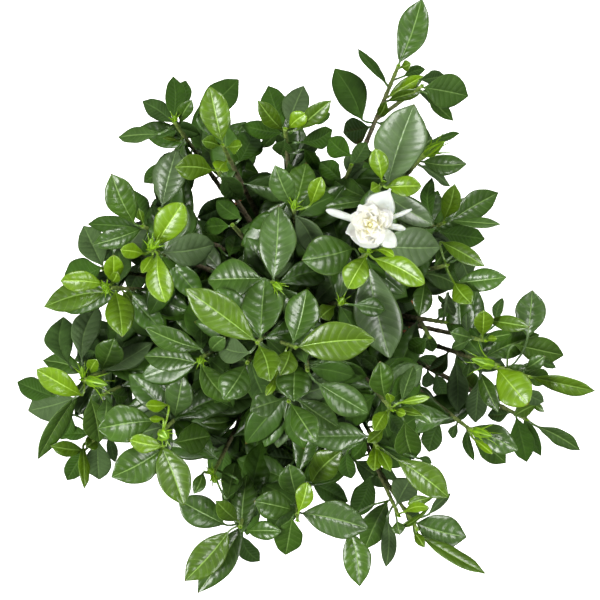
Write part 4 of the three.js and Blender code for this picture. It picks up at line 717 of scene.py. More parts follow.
class Paint:
    """Short words for the nodes of one tree."""

    def __init__(self, tree):
        self.tree = tree

    def feed(self, socket, value):
        if isinstance(value, bpy.types.NodeSocket):
            self.tree.links.new(value, socket)
        else:
            socket.default_value = value

    def node(self, kind, sockets, **settings):
        """Adds a node, sets it up, feeds its sockets and gives back its outputs."""
        node = self.tree.nodes.new("ShaderNode" + kind)
        for name, value in settings.items():
            setattr(node, name, value)
        for socket, value in sockets.items():
            self.feed(node.inputs[socket], value)
        return node.outputs

    def maths(self, operation, a, b=0.0):
        return self.node("Math", {0: a, 1: b}, operation=operation)[0]

    def times(self, a, b):
        return self.maths("MULTIPLY", a, b)

    def plus(self, a, b):
        return self.maths("ADD", a, b)

    def smooth(self, value, low, high, out_low=0.0, out_high=1.0):
        """Goes smoothly from out_low to out_high as the value goes from low to high."""
        sockets = dict(enumerate((value, low, high, out_low, out_high)))
        return self.node("MapRange", sockets, interpolation_type="SMOOTHSTEP")[0]

    def mix(self, share, a, b):
        sockets = {MIX_SHARE: share, MIX_FIRST: a, MIX_SECOND: b}
        return self.node("Mix", sockets, data_type="RGBA")[MIX_RESULT]

    def kept(self, name):
        """A number that is kept on the mesh."""
        return self.node("Attribute", {}, attribute_name=name)["Fac"]

    def place(self):
        return self.node("TexCoord", {})["Object"]

    def brighter(self, color, value):
        return self.node("HueSaturation", {"Color": color, "Value": value})["Color"]

    def mottled(self, scale, detail, low=0.0, high=1.0):
        sockets = {"Scale": scale, "Detail": detail, "Low": low, "High": high}
        return self.node("Group", sockets, node_tree=mottle.tree)

    def ribbed(self, pairs, width):
        sockets = {"Across": self.kept("across"), "Along": self.kept("along"),
                   "Pairs": pairs, "Width": width}
        return self.node("Group", sockets, node_tree=ribs.tree)


class Group(Paint):
    """A node group, whose named sockets are all numbers."""

    def __init__(self, name, inputs, outputs):
        super().__init__(bpy.data.node_groups.new(name, "ShaderNodeTree"))
        face, number = self.tree.interface, "NodeSocketFloat"
        for label, value in inputs.items():
            face.new_socket(label, in_out="INPUT", socket_type=number).default_value = value
        for label in outputs:
            face.new_socket(label, in_out="OUTPUT", socket_type=number)
        self.given = self.tree.nodes.new("NodeGroupInput").outputs
        self.results = self.tree.nodes.new("NodeGroupOutput").inputs

    def give(self, label, value):
        self.feed(self.results[label], value)


class Finish(Paint):
    """A material, whose one shader takes what the other words make."""

    def __init__(self, name):
        self.material = bpy.data.materials.new(name)
        self.material.use_nodes = True
        super().__init__(self.material.node_tree)
        self.shader = self.tree.nodes["Principled BSDF"]

    def shade(self, sockets):
        for label, value in sockets.items():
            self.feed(self.shader.inputs[label], value)

    def bump(self, height, strength, distance):
        sockets = {"Height": height, "Strength": strength, "Distance": distance}
        self.shade({"Normal": self.node("Bump", sockets)["Normal"]})


print("mid green:", srgb(77, 102, 49))

# %% [markdown]
# ## The ribs of a blade
# A gardenia leaf has a pale midrib and eight to eleven pairs of side ribs. They leave the midrib,
# bend towards the tip and fade before the edge, and the skin swells between them. The group gives a
# mask for each of the three. Petals use the same group with fainter ribs.

# %% Group: ribs
RIB_LIFT, RIB_BEND = 0.14, 1.35

ribs = Group("Ribs of a blade", {"Across": 0, "Along": 0, "Pairs": 9, "Width": 0.04},
             ["Midrib", "Side ribs", "Swell"])
width = ribs.given["Width"]
off = ribs.maths("ABSOLUTE", ribs.given["Across"])
lifted = ribs.times(ribs.maths("POWER", off, RIB_BEND), RIB_LIFT)
phase = ribs.times(ribs.maths("SUBTRACT", ribs.given["Along"], lifted), ribs.given["Pairs"])
within = ribs.maths("FRACT", phase)
far = ribs.times(ribs.maths("MINIMUM", within, ribs.maths("SUBTRACT", 1.0, within)), 2.0)
inside = ribs.smooth(off, 0.8, 1.0, 1.0, 0.0)
ribs.give("Midrib", ribs.smooth(off, ribs.times(width, 0.5), ribs.times(width, 1.5), 1.0, 0.0))
ribs.give("Side ribs", ribs.times(ribs.smooth(far, 0.0, 0.24, 1.0, 0.0), inside))
ribs.give("Swell", ribs.times(ribs.smooth(far, 0.0, 0.8), inside))
print("ribs:", [s.name for s in ribs.results if s.name])

# %% [markdown]
# ## Mottle
# No grown or fired thing has one even colour. The group gives soft patches between a low and a high
# value, at a size that each finish sets for itself.

# %% Group: mottle
mottle = Group("Mottle", {"Scale": 60, "Detail": 3, "Low": 0, "High": 1}, ["Value", "Patches"])
noise = mottle.node("TexNoise", {
    "Vector": mottle.place(), "Scale": mottle.given["Scale"], "Detail": mottle.given["Detail"]})
spread = mottle.smooth(noise["Fac"], 0.32, 0.68)
gap = mottle.maths("SUBTRACT", mottle.given["High"], mottle.given["Low"])
mottle.give("Patches", spread)
mottle.give("Value", mottle.plus(mottle.given["Low"], mottle.times(spread, gap)))
print("mottle:", [s.name for s in mottle.results if s.name])

# %% [markdown]
# ## The skin of a leaf
# One finish serves all leaves, because they differ by age: a deep green for the old ones and a lime
# green for those that have just opened. The upper face is waxy and throws sharp highlights, and the
# lower one is paler and dull. A pale line along the rim of each blade is a painted highlight, for
# the light that its curled edge catches.

# %% Material: leaf
AGE = {DARK: 0.0, GREY: 0.25, MID: 0.5, LIGHT: 0.75, BRIGHT: 1.0}
SKIN_BY_AGE = [
    srgb(48, 78, 18), srgb(72, 91, 58), srgb(49, 78, 17), srgb(62, 89, 5), srgb(92, 125, 3),
]
RIB_BY_AGE = [
    srgb(82, 114, 48), srgb(110, 136, 84), srgb(112, 142, 74), srgb(128, 162, 70),
    srgb(152, 186, 70),
]
# the rim values paint a highlight along the edge of each blade
MIDRIB_SHARE, SIDE_RIB_SHARE, RIM_HIGHLIGHT_SHARE, RIM_HIGHLIGHT_FROM = 0.7, 0.16, 0.7, 0.93
UNDER_COLOR, UNDER_SHARE = srgb(138, 160, 108), 0.45
BURNT_COLOR, BURNT_FROM = srgb(92, 66, 30), 0.965
ROUGH, UNDER_ROUGHER, ROUGH_MOTTLE = 0.34, 0.24, 0.1
WAX, WAX_ROUGH, WAX_IOR = 0.3, 0.16, 1.4


def by_age(paint, colors):
    """A colour that goes from the first of a list to the last as the kept age goes from 0 to 1."""
    ramp = paint.tree.nodes.new("ShaderNodeValToRGB")
    last = len(colors) - 1
    for k in range(1, last):
        ramp.color_ramp.elements.new(k / last)
    for k, element in enumerate(ramp.color_ramp.elements):
        element.position, element.color = k / last, colors[k]
    paint.feed(ramp.inputs["Fac"], paint.kept("age"))
    return ramp.outputs["Color"]


def make_leaf_finish():
    paint = Finish("leaf_skin")
    across, along, under = paint.kept("across"), paint.kept("along"), paint.kept("under")
    rib = paint.ribbed(paint.kept("pairs"), paint.kept("midrib"))
    patches = paint.mottled(scale=70.0, detail=4.0, low=0.84, high=1.12)
    speckle = paint.mottled(scale=240.0, detail=2.0, high=ROUGH_MOTTLE)
    shade = paint.times(patches["Value"], paint.kept("shade"))
    skin = paint.brighter(by_age(paint, SKIN_BY_AGE), shade)
    rib_color = by_age(paint, RIB_BY_AGE)
    lines = paint.maths("MAXIMUM", paint.times(rib["Midrib"], MIDRIB_SHARE),
                        paint.times(rib["Side ribs"], SIDE_RIB_SHARE))
    # painted highlight: a pale line along the rim of the blade, where the curled edge catches the
    # light
    rim = paint.smooth(paint.maths("ABSOLUTE", across), RIM_HIGHLIGHT_FROM, 1.0, 0.0, RIM_HIGHLIGHT_SHARE)
    color = paint.mix(rim, paint.mix(lines, skin, rib_color), rib_color)
    burnt = paint.times(paint.smooth(along, BURNT_FROM, 1.0), paint.kept("burnt"))
    color = paint.mix(burnt, color, BURNT_COLOR)
    pale = paint.mix(UNDER_SHARE, color, UNDER_COLOR)
    rough = paint.plus(paint.times(under, UNDER_ROUGHER), ROUGH)
    paint.shade({
        "Base Color": paint.mix(under, color, pale), "IOR": WAX_IOR,
        "Roughness": paint.plus(rough, speckle["Value"]),
        "Coat Weight": WAX, "Coat Roughness": WAX_ROUGH})
    swell = paint.plus(paint.times(rib["Swell"], 0.5), paint.times(speckle["Patches"], 0.1))
    paint.bump(swell, strength=0.3, distance=0.0007)
    return paint.material


leaf_finish = make_leaf_finish()
print("leaf nodes:", len(leaf_finish.node_tree.nodes))

# %% [markdown]
# ## Stems, buds and bark
# A stem is green and smooth at its tip, and grows a grey-brown bark as it ages. A bud is a fresh
# lime green, a little darker in its grooves. Old bark has furrows along it and a little lichen.

# %% Materials: stem, bud and bark
BARK_STRETCH, LICHEN_SHARE = (260, 260, 40), 0.35


def make_stem_finish():
    paint = Finish("stem_skin")
    age = paint.kept("age")
    patches = paint.mottled(scale=300.0, detail=4.0)
    bark = paint.mix(patches["Value"], srgb(74, 66, 48), srgb(118, 110, 84))
    green = paint.mix(patches["Value"], srgb(88, 112, 44), srgb(128, 152, 66))
    paint.shade({"Base Color": paint.mix(paint.smooth(age, 0.25, 0.75), bark, green),
                 "Roughness": paint.smooth(age, 0.2, 0.9, 0.8, 0.45)})
    paint.bump(patches["Patches"], strength=0.4, distance=0.0006)
    return paint.material


def make_bud_finish():
    paint = Finish("bud_skin")
    groove = paint.smooth(paint.kept("across"), 0.0, 1.0)
    patches = paint.mottled(scale=200.0, detail=2.0, low=0.85, high=1.1)
    color = paint.mix(groove, srgb(74, 112, 14), srgb(122, 162, 22))
    paint.shade({"Base Color": paint.brighter(color, patches["Value"]),
                 "Roughness": paint.smooth(groove, 0.0, 1.0, 0.5, 0.34)})
    return paint.material


def make_bark_finish():
    paint = Finish("old_bark")
    place = paint.node("Mapping", {"Vector": paint.place(), "Scale": BARK_STRETCH})["Vector"]
    streak = paint.node("TexNoise", {"Vector": place, "Scale": 1.0, "Detail": 5.0})
    furrow = paint.smooth(streak["Fac"], 0.35, 0.62)
    patches = paint.mottled(scale=90.0, detail=3.0)
    bark = paint.mix(furrow, srgb(52, 43, 31), srgb(122, 110, 86))
    lichen = paint.times(patches["Value"], LICHEN_SHARE)
    paint.shade({"Base Color": paint.mix(lichen, bark, srgb(140, 140, 112)),
                 "Roughness": paint.smooth(furrow, 0.0, 1.0, 0.95, 0.78)})
    paint.bump(furrow, strength=0.7, distance=0.0012)
    return paint.material


GREEN_FINISHES = [leaf_finish, make_stem_finish(), make_bud_finish()]
WOOD, GREEN = 1, 2
bark_finish = make_bark_finish()
print("green finishes:", [finish.name for finish in GREEN_FINISHES])

# %% [markdown]
# ## The mesh of a piece while it is made
# Most parts of a plant are skins over rings: a stem has round rings, and a leaf has very flat ones.
# So one helper closes a skin over any row of rings. A piece collects many such skins, with the
# numbers that its paint reads, and then becomes one Blender object in metres.

# %% A skin over rings, and the piece that collects skins
NUMBERS = ("across", "along", "pairs", "midrib", "age", "shade", "burnt", "under")


class Piece:
    def __init__(self, name, finishes):
        self.name, self.finishes = name, finishes
        self.points, self.numbers, self.faces, self.finish_of = [], [], [], []
        self.count = 0

    def add(self, points, faces, finish, **numbers):
        table = np.zeros((len(points), len(NUMBERS)), np.float32)
        for name, value in numbers.items():
            table[:, NUMBERS.index(name)] = np.asarray(value, np.float32).reshape(-1)
        self.points.append(points)
        self.numbers.append(table)
        self.faces += (faces + self.count).tolist()
        self.finish_of += [finish] * len(faces)
        self.count += len(points)

    def skin(self, rings, finish=0, **numbers):
        """Adds a closed skin over rings of points, an array of rings x around x 3."""
        rows, around = rings.shape[:2]
        row, spot = np.arange(rows - 1)[:, None] * around, np.arange(around)[None, :]
        beside = (spot + 1) % around
        quads = [row + spot, row + beside, row + around + beside, row + around + spot]
        first, last = self.count, self.count + (rows - 1) * around
        self.add(rings.reshape(-1, 3), np.stack(quads, axis=-1).reshape(-1, 4), finish, **numbers)
        self.faces += [[first + k for k in reversed(range(around))],
                       [last + k for k in range(around)]]
        self.finish_of += [finish] * 2

    def sheet(self, places, side, out, u, s, sideways, height, low, **numbers):
        """Adds a thin closed sheet: its rings cross the upper face and come back on the lower."""
        def there_and_back(up, down):
            return np.concatenate([up, down[:, -2:0:-1]], axis=1)
        level = places[:, None] + side[:, None] * sideways[..., None]
        faces = [level + out[:, None] * lift[..., None] for lift in (height, low)]
        rings = there_and_back(*faces)
        across, under = there_and_back(s, s), there_and_back(np.zeros_like(s), np.ones_like(s))
        self.skin(rings, across=np.tile(across, (len(u), 1)), under=np.tile(under, (len(u), 1)),
                  along=np.repeat(u, rings.shape[1]), **numbers)

    def made(self, slot, *nodes):
        """The Blender object, which stands for the given solids and rides with the plant."""
        mesh = bpy.data.meshes.new(self.name)
        mesh.from_pydata((np.concatenate(self.points) * MM).tolist(), [], self.faces)
        table = np.concatenate(self.numbers)
        for k, name in enumerate(NUMBERS):
            if table[:, k].any():
                kept = mesh.attributes.new(name, "FLOAT", "POINT")
                kept.data.foreach_set("value", table[:, k].copy())
        for finish in self.finishes:
            mesh.materials.append(finish)
        mesh.polygons.foreach_set("material_index", self.finish_of)
        mesh.polygons.foreach_set("use_smooth", [True] * len(mesh.polygons))
        mesh.update()
        piece = bpy.data.objects.new(self.name, mesh)
        bpy.context.scene.collection.objects.link(piece)
        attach(piece, "root")
        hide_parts(*nodes)
        return piece


def round_rings(places, radii, around, ridges=0, ridge=0.0):
    """Round rings along a row of places, each turned as little as possible from the last."""
    ways = np.gradient(places, axis=0)
    ways /= np.linalg.norm(ways, axis=1)[:, None]
    side = np.cross(ways[0], [0.3, 1, 0.2])
    turns = 2 * np.pi * np.arange(around) / around
    swell = 1 + ridge * np.cos(ridges * turns)
    rings = []
    for place, way, radius in zip(places, ways, radii):
        side = unit(side - way * (side @ way))
        over = np.cross(way, side)
        flat = np.cos(turns)[:, None] * side + np.sin(turns)[:, None] * over
        rings.append(place + flat * (radius * swell)[:, None])
    return np.array(rings)


print("numbers kept on each mesh:", NUMBERS)

# %% [markdown]
# ## A leaf blade
# The blade is an oval that is widest near its middle and ends in a short drawn-out tip. The halves
# rise from the midrib and curve down again at the rims, and the skin swells between the side ribs.
# The swelling is real geometry, because it is what breaks the highlights into the bright bars seen
# in the photograph. Both faces are split alike, so the blade stays a thin closed body however it
# waves. The leaves deep in the crown are split coarser and have no swelling.

# %% Outline, ribs and rings of a blade
RIM_TURN, FOLD, DROOP = 0.05, (0.14, 0.3), (0.08, 0.16)
OVAL_POWER, BLUNT_POWER, BLUNT_FULLER, FULLNESS = 0.72, 0.64, 0.2, (1.12, 1.38)
TIP_FROM, TIP_PINCH = 0.84, 0.4
BLADE_THICK, STALK_THICK, STALK_HALF = 0.45, 1.5, 0.85
RIB_SPACING, SWELL_HEIGHT, YOUNG_SWELL = 7.3, 0.8, 0.6
GROOVE_DEPTH, MIDRIB_RIDGE, MIDRIB_HALF, MIDRIB_WIDEST = 0.22, 0.75, 0.5, 0.16
SWAY, TWIST, WAVES, WAVE_HEIGHT, RIPPLE = 0.03, 0.15, (1.2, 2.6), (0.2, 0.8), (0.01, 0.05)
BLADE_STARTS, SWELL_STARTS, GROWN_HALF, RIM_FLAT, SWELL_POWER = 0.08, 0.12, 8, 7, 1.4
GROOVE_REACH, FLAT_REACH, RIDGE_REACH = 0.8, 1.2, 0.9
AGE_SPREAD, SHADE_SPREAD = (-0.08, 0.08), (0.88, 1.16)
STALK_ROWS, STALK_LEAD, ROW_STEP, DEEP_COARSER, BROAD = 4, 0.45, 1.6, 2.2, 15
COLUMNS = {"large": [0, 0.06, 0.22, 0.46, 0.7, 0.92, 1], "middle": [0, 0.08, 0.36, 0.7, 0.93, 1],
           "small": [0, 0.15, 0.8, 1]}


def blade_outline(u, fullness, blunt):
    """The share of the width along a blade, which is widest a little beyond its middle."""
    v = np.clip(u, 0, 1)
    if blunt:
        return np.sin(np.pi * v ** (fullness + BLUNT_FULLER)) ** BLUNT_POWER
    drawn_out = 1 - TIP_PINCH * np.clip((v - TIP_FROM) / (1 - TIP_FROM), 0, 1) ** 1.4
    return np.sin(np.pi * v ** fullness) ** OVAL_POWER * drawn_out


def blade_line(leaf, pairs):
    """The rows down a stalk and its blade: shares, places, and the ways across and out."""
    bend, length = blade_bend(leaf)
    root, base = leaf["root"], leaf["base"]
    lead = bend.way(0)[0] * STALK_LEAD * np.linalg.norm(base - root)
    stalk = Bend(root, base - lead, base)
    step = ROW_STEP * DEEP_COARSER if leaf.get("deep") else ROW_STEP
    rows = int(np.clip(length / step, 10, 5 * pairs))
    u = np.concatenate([np.linspace(-1, 0, STALK_ROWS + 1)[:-1], np.linspace(0, 1, rows)])
    on_stalk, on_blade = u[:STALK_ROWS] + 1, u[STALK_ROWS:]
    ways = np.concatenate([stalk.way(on_stalk), bend.way(on_blade)])
    across = np.array([across_way(np.zeros(3), way) for way in ways])
    over = np.cross(across, ways)
    over /= np.linalg.norm(over, axis=1)[:, None]
    sway = chance.normal(0, SWAY) * length * np.sin(np.pi * np.clip(u, 0, 1))
    places = np.concatenate([stalk.at(on_stalk), bend.at(on_blade)]) + sway[:, None] * across
    roll = (leaf["roll"] + chance.normal(0, TWIST) * np.clip(u, 0, 1))[:, None]
    side = across * np.cos(roll) + over * np.sin(roll)
    return u, places, side, over * np.cos(roll) - across * np.sin(roll)


def near_midrib(s, half, reach):
    """One on the midrib, and soon nothing beside it."""
    return np.exp(-(s * half / reach) ** 2)


def grow_blade(piece, leaf):
    deep, blunt = leaf.get("deep"), leaf["tone"] == BRIGHT
    pairs = max(4, round(blade_bend(leaf)[1] / RIB_SPACING) + 1)
    u, places, side, out = blade_line(leaf, pairs)
    outline = 0.5 * leaf["width"] * blade_outline(u, chance.uniform(*FULLNESS), blunt)
    half = np.maximum(STALK_HALF * (1 - 0.75 * np.clip(u, 0, 1)), outline)[:, None]
    right = np.array(COLUMNS["small" if deep else "large" if leaf["width"] > BROAD else "middle"])
    s = np.concatenate([-right[:0:-1], right])[None, :]
    a = np.abs(s)
    u_row, grown = u[:, None], np.clip(half / GROWN_HALF, 0, 1)
    blade = np.clip(u_row / BLADE_STARTS, 0, 1)
    fold, droop = chance.uniform(*FOLD), chance.uniform(*DROOP)
    height = half * (fold * a - droop * a ** 2 - RIM_TURN * a ** 6)
    height += -GROOVE_DEPTH * blade * near_midrib(s, half, GROOVE_REACH)
    phase = pairs * (u_row - RIB_LIFT * a ** RIB_BEND)
    away = (1 - near_midrib(s, half, FLAT_REACH)) * (1 - a ** RIM_FLAT)
    edge = away * np.clip(u_row / SWELL_STARTS, 0, 1)
    swell = 0.0 if deep else YOUNG_SWELL if blunt else 1.0
    height += swell * SWELL_HEIGHT * np.abs(np.sin(np.pi * phase)) ** SWELL_POWER * edge * grown
    waves = chance.uniform(*WAVES) * u_row + chance.uniform(0, 1) + 0.25 * np.sign(s)
    height += chance.uniform(*WAVE_HEIGHT) * a ** 3 * np.sin(2 * np.pi * waves) * blade * grown
    thick = BLADE_THICK + (STALK_THICK - BLADE_THICK) * (1 - blade)
    ridge = MIDRIB_RIDGE * np.clip(1 - u_row, 0, 1) * blade * near_midrib(s, half, RIDGE_REACH)
    ripple = chance.uniform(*RIPPLE) * np.sin(2 * np.pi * (waves + chance.uniform(0, 1)))
    sideways = s * half * (1 + ripple * a)
    piece.sheet(places, side, out, u, s, sideways, height, height - thick - ridge,
                pairs=pairs, midrib=min(MIDRIB_WIDEST, 2 * MIDRIB_HALF / leaf["width"]),
                age=AGE[leaf["tone"]] + chance.uniform(*AGE_SPREAD),
                shade=chance.uniform(*SHADE_SPREAD), burnt=chance.uniform(0, 1) ** 4)


print("columns across a blade:", {size: 2 * len(right) - 1 for size, right in COLUMNS.items()})

# %% [markdown]
# ## Stems and buds
# A stem is a round skin along its bend, with a slight swelling at each node where leaves stood. A
# gardenia bud is a spindle with a ribbed calyx, whose lobes stand out as long thin needles. Every
# growing tip also has a pointed sheath of small scales.

# %% Stems, buds and growing tips
STEM_SIDES, STEM_STEP, NODE_EVERY, NODE_SWELL = 10, 2.2, 13.0, 0.22
OLD_RADIUS, TOP_RADIUS, TWIG_RADIUS, STUB_RADIUS = 2.1, 1.5, 1.7, 1.4
SPINDLE_ROWS, SPINDLE_SIDES, SPINDLE_FROM, SPINDLE_LEAST = 11, 18, 0.03, 0.12
BUD_RIBS, BUD_LOBES, NEEDLE_ROWS, NEEDLE_SIDES, NEEDLE_TAPER = 6, 6, 9, 5, 0.93
OLD_AGE, YOUNG_AGE, STUB_END_RADIUS, STUB_SWELL = 0.1, 0.95, 1.2, 0.1


def grow_stem(piece, bend, thick, thin, low_age, high_age, swell=NODE_SWELL):
    steps = max(4, round(bend.length / STEM_STEP))
    share = np.linspace(0, 1, steps + 1)
    down = (1 - share) * bend.length
    bumps = 1 + swell * np.exp(-(((down + 4) % NODE_EVERY - 4) / 1.1) ** 2)
    radii = (thick + (thin - thick) * share) * bumps
    age = low_age + (high_age - low_age) * share ** 1.5
    rings = round_rings(bend.along(share), radii, STEM_SIDES)
    piece.skin(rings, WOOD, age=np.repeat(age, STEM_SIDES))


def spindle(piece, low, high, radius, finish=GREEN, power=0.62, ridges=BUD_RIBS, depth=0.1,
            age=YOUNG_AGE):
    share = np.linspace(SPINDLE_FROM, 1, SPINDLE_ROWS)
    radii = radius * np.sin(np.pi * share ** power) ** 0.8 + SPINDLE_LEAST
    rings = round_rings(straight(low, high).at(share), radii, SPINDLE_SIDES, ridges, depth)
    groove = 0.5 + 0.5 * np.cos(ridges * 2 * np.pi * np.arange(SPINDLE_SIDES) / SPINDLE_SIDES)
    piece.skin(rings, finish, across=np.tile(groove, SPINDLE_ROWS), age=age)


def grow_needle(piece, low, middle, high, radius):
    share = np.linspace(0, 1, NEEDLE_ROWS)
    radii = radius * (1 - NEEDLE_TAPER * share ** 1.6)
    rings = round_rings(Bend(low, middle, high).at(share), radii, NEEDLE_SIDES)
    piece.skin(rings, GREEN, across=0.7, age=YOUNG_AGE)


def around_axis(way, turn):
    """A way square to another, at an angle around it."""
    side = unit(np.cross(way, [0.31, 0.95, 0.07]))
    return math.cos(turn) * side + math.sin(turn) * np.cross(way, side)


def grow_bud(piece, root, row):
    x0, y0, x1, y1, width = row
    end = np.array([x1, y1, root[2] + 4 + 0.8 * max(math.dist((x0, y0), (x1, y1)), 5)])
    run = end - root
    way, length = unit(run), math.dist(root, end)
    grow_stem(piece, straight(root - way, root + 0.3 * run), 0.3 * width, 0.27 * width, 0.9, 1, 0)
    spindle(piece, root + 0.12 * run, end, 0.5 * width)
    for k in range(BUD_LOBES):
        away = around_axis(way, 2 * math.pi * (k + chance.uniform(0.3, 0.7)) / BUD_LOBES)
        spread = (0.55 * width + 0.32 * length) * chance.uniform(0.75, 1.15)
        low, middle = root + 0.3 * run + away * 0.3 * width, root + 0.72 * run + away * 0.66 * width
        grow_needle(piece, low, middle, end + away * spread, 0.65)


def grow_growing_tip(piece, bend, size):
    place, way = bend.marks[2], bend.way(1)[0]
    spindle(piece, place - way, place + way * 3.8 * size, size, power=0.55, ridges=2, depth=0.15)
    for side in (0, 1):
        away = around_axis(way, chance.uniform(0, 0.8) + math.pi * side)
        end = place + way * 3.6 * size + away * 1.8 * size
        middle = place + way * 2.2 * size + away * 1.6 * size
        grow_needle(piece, place + away * 0.5, middle, end, 0.6 * size)


print("node swellings every", NODE_EVERY, "mm")

# %% [markdown]
# ## One piece for each spray
# A spray of leaves with its stem is one piece, and it stands for the solid of the same name. The
# young tip of a shoot is a second piece, because it has a finish of its own in the parts list.

# %% Grow every spray
def grow_spray(shoot):
    spray = Piece(f"spray_{shoot.name}", GREEN_FINISHES)
    grow_stem(spray, shoot.main, OLD_RADIUS, TOP_RADIUS, low_age=OLD_AGE, high_age=0.7)
    if shoot.twig:
        grow_stem(spray, shoot.twig, TWIG_RADIUS, TOP_RADIUS, low_age=0.4, high_age=0.8)
        grow_growing_tip(spray, shoot.twig, 0.8)
    tips = Piece(f"tips_{shoot.name}", GREEN_FINISHES) if shoot.stub else None
    if tips:
        grow_stem(tips, shoot.stub, STUB_RADIUS, STUB_END_RADIUS, 0.85, 1, STUB_SWELL)
        grow_growing_tip(tips, shoot.stub, 1.2)
    else:
        grow_growing_tip(spray, shoot.main, 0.9)
    for leaf in shoot.leaves:
        grow_blade(tips if leaf["node"].startswith("young_") else spray, leaf)
    bud_root = shoot.stub.at(0.8)[0] if tips else shoot.main.at(0.99)[0]
    for row in shoot.reading["buds"]:
        grow_bud(tips or spray, bud_root, row)
    return spray, tips


sprays = {}
for shoot in shoots:
    spray, tips = grow_spray(shoot)
    sprays["shoot_" + shoot.name] = spray
    if tips:
        sprays["young_" + shoot.name] = tips
print("sprays:", len(sprays), "points:", sum(p.count for p in sprays.values()))

# %% [markdown]
# ## The open flower
# The flower is double: narrow outer petals roll their rims down until they look like pipes, broad
# ones lie flat behind the head, and the inner ones cup around a tight spiral. A petal is a sheet on
# a line that climbs and then bends over. Its cross section is an arc, cupped up or rolled down. The
# petals are white, with cream painted at the heart for the light that turns yellow between them. A
# weak painted glow stands for the light that passes through many thin petals.

# %% The petals
FLOWER_CENTRE, FLOWER_RISE, NECK_AT = (56, 60), 14, 0.7
NECK_MARKS, NECK_RADII = [0, 0.33, 0.66, 1], [1.6, 2.6, 2.2, 2.6]
ROOT_RING, ROOT_LIFT, RANK_LIFT, FIRST_CREAM, RANK_CREAM = 4.2, 3, 0.3, 0.3, 0.035
PETAL_ROWS, PETAL_COLUMNS, PETAL_THICK, PETAL_WAVE = 22, 15, 0.5, 0.055
PETALS = [
    # turn, length, width, rise, cup, curl, point
    (161, 33, 8, 10, -1.5, 10, 0.0), (62, 29, 23, 12, -0.45, 20, 1.0),
    (17, 31, 4.5, 8, -1.4, 4, 0.0), (-2, 24, 6, 5, -1.2, 10, 0.1), (22, 16, 15, 14, -0.3, 24, 0.3),
    (88, 15, 16, 12, -0.2, 22, 0.7), (-40, 23, 12, 10, -0.5, 16, 0.1),
    (-112, 15, 27, 12, 0.3, 30, 0.15), (-72, 14, 15, 12, 0.3, 30, 0.1),
    (193, 16.5, 16, 12, 0.3, 22, 0.6), (118, 14, 15, 30, 0.6, 14, 0.5),
    (150, 13, 15, 26, 0.4, 22, 0.2), (32, 12, 18, 36, 0.6, 26, 0.2), (80, 12, 17, 40, 0.7, 22, 0.2),
    (165, 11, 17, 42, 0.8, 22, 0.2), (240, 12.5, 19, 34, 0.7, 30, 0.2),
    (300, 13, 19, 32, 0.6, 30, 0.2), (70, 9, 14, 52, 1.1, 24, 0.2), (180, 8, 13, 60, 1.1, 16, 0.2),
    (300, 8, 12, 58, 1.1, 16, 0.2), (272, 10.5, 15, 30, 0.7, 30, 0.2),
    (105, 8, 12, 44, 0.8, 24, 0.2),
]
HEART_PETALS, HEART_TURN = 9, 137.5
ROLLED_BELOW, PETAL_GLOW = -1, 0.07
UP = np.array([0, 0, 1])


def make_petal_finish():
    paint = Finish("petal_skin")
    patches, rib = paint.mottled(scale=90.0, detail=3.0), paint.ribbed(pairs=3.0, width=0.04)
    # cream painted near the root of each petal, more on the inner ones, for the light that turns
    # yellow between the petals
    cream = paint.times(paint.smooth(paint.kept("along"), 0.0, 0.55, 1.0, 0.0), paint.kept("age"))
    white = paint.mix(patches["Value"], srgb(214, 213, 199), srgb(224, 223, 210))
    color = paint.mix(cream, white, srgb(232, 224, 142))
    tired = paint.times(rib["Swell"], 0.06)
    # the emission is a weak painted glow for the light that passes through the thin petals
    paint.shade({
        "Base Color": paint.mix(tired, color, srgb(214, 214, 190)), "Roughness": 0.55,
        "Subsurface Weight": 0.8, "Subsurface Radius": (0.006, 0.0055, 0.004),
        "Subsurface Scale": 1.0, "Emission Color": srgb(255, 250, 226),
        "Emission Strength": PETAL_GLOW})
    paint.bump(rib["Swell"], strength=0.25, distance=0.0006)
    return paint.material


def petal_outline(u, point, rolled):
    """The share of the width along a petal. A rolled one stays as wide as a pipe up to its end."""
    if rolled:
        return (1 - 0.85 * u ** 12) * (0.5 + 0.5 * u)
    return np.sin(np.pi * (0.06 + 0.94 * u) ** 1.35) ** 0.62 * (1 - point * u ** 3)


def grow_petal(piece, root, turn, length, width, rise, cup, curl, point, cream):
    """A petal that starts at a root, climbs by its rise and bends over by its curl, in degrees."""
    u = np.linspace(0, 1, PETAL_ROWS)
    u_row, way = u[:, None], heading(turn)
    slope = math.radians(rise) + math.radians(curl) * (0.5 - 1.35 * u ** 1.6)
    step = length / math.cos(math.radians(rise)) / (PETAL_ROWS - 1)
    path = np.cumsum(np.stack([np.cos(slope), np.sin(slope)], 1) * step, axis=0)
    path -= path[0]
    across = np.array([way[1], -way[0], 0])
    lean = chance.uniform(-0.12, 0.12) * length * u ** 2
    places = root + path[:, :1] * way + path[:, 1:] * UP + lean[:, None] * across
    out = -np.sin(slope)[:, None] * way + np.cos(slope)[:, None] * UP
    half = np.maximum(0.9, 0.5 * width * petal_outline(u, point, cup < ROLLED_BELOW))[:, None]
    s = np.linspace(-1, 1, PETAL_COLUMNS)[None, :]
    wrap = cup * (0.5 + 0.5 * u_row) * s
    wrap = np.where(np.abs(wrap) < 1e-6, 1e-6, wrap)
    sideways = half * s * np.sin(wrap) / wrap * (1.0 if cup > 0 else 1.25)
    height = half * s * (1 - np.cos(wrap)) / wrap
    height = height + PETAL_WAVE * half * np.abs(s) ** 3 * np.sin(
        2 * np.pi * (chance.uniform(1, 2) * u_row + 0.3 * s) + chance.uniform(0, 6))
    thick = PETAL_THICK * (1 - 0.4 * u_row)
    side = np.repeat(across[None], PETAL_ROWS, axis=0)
    piece.sheet(places, side, out, u, s, sideways, height, height - thick, age=cream)


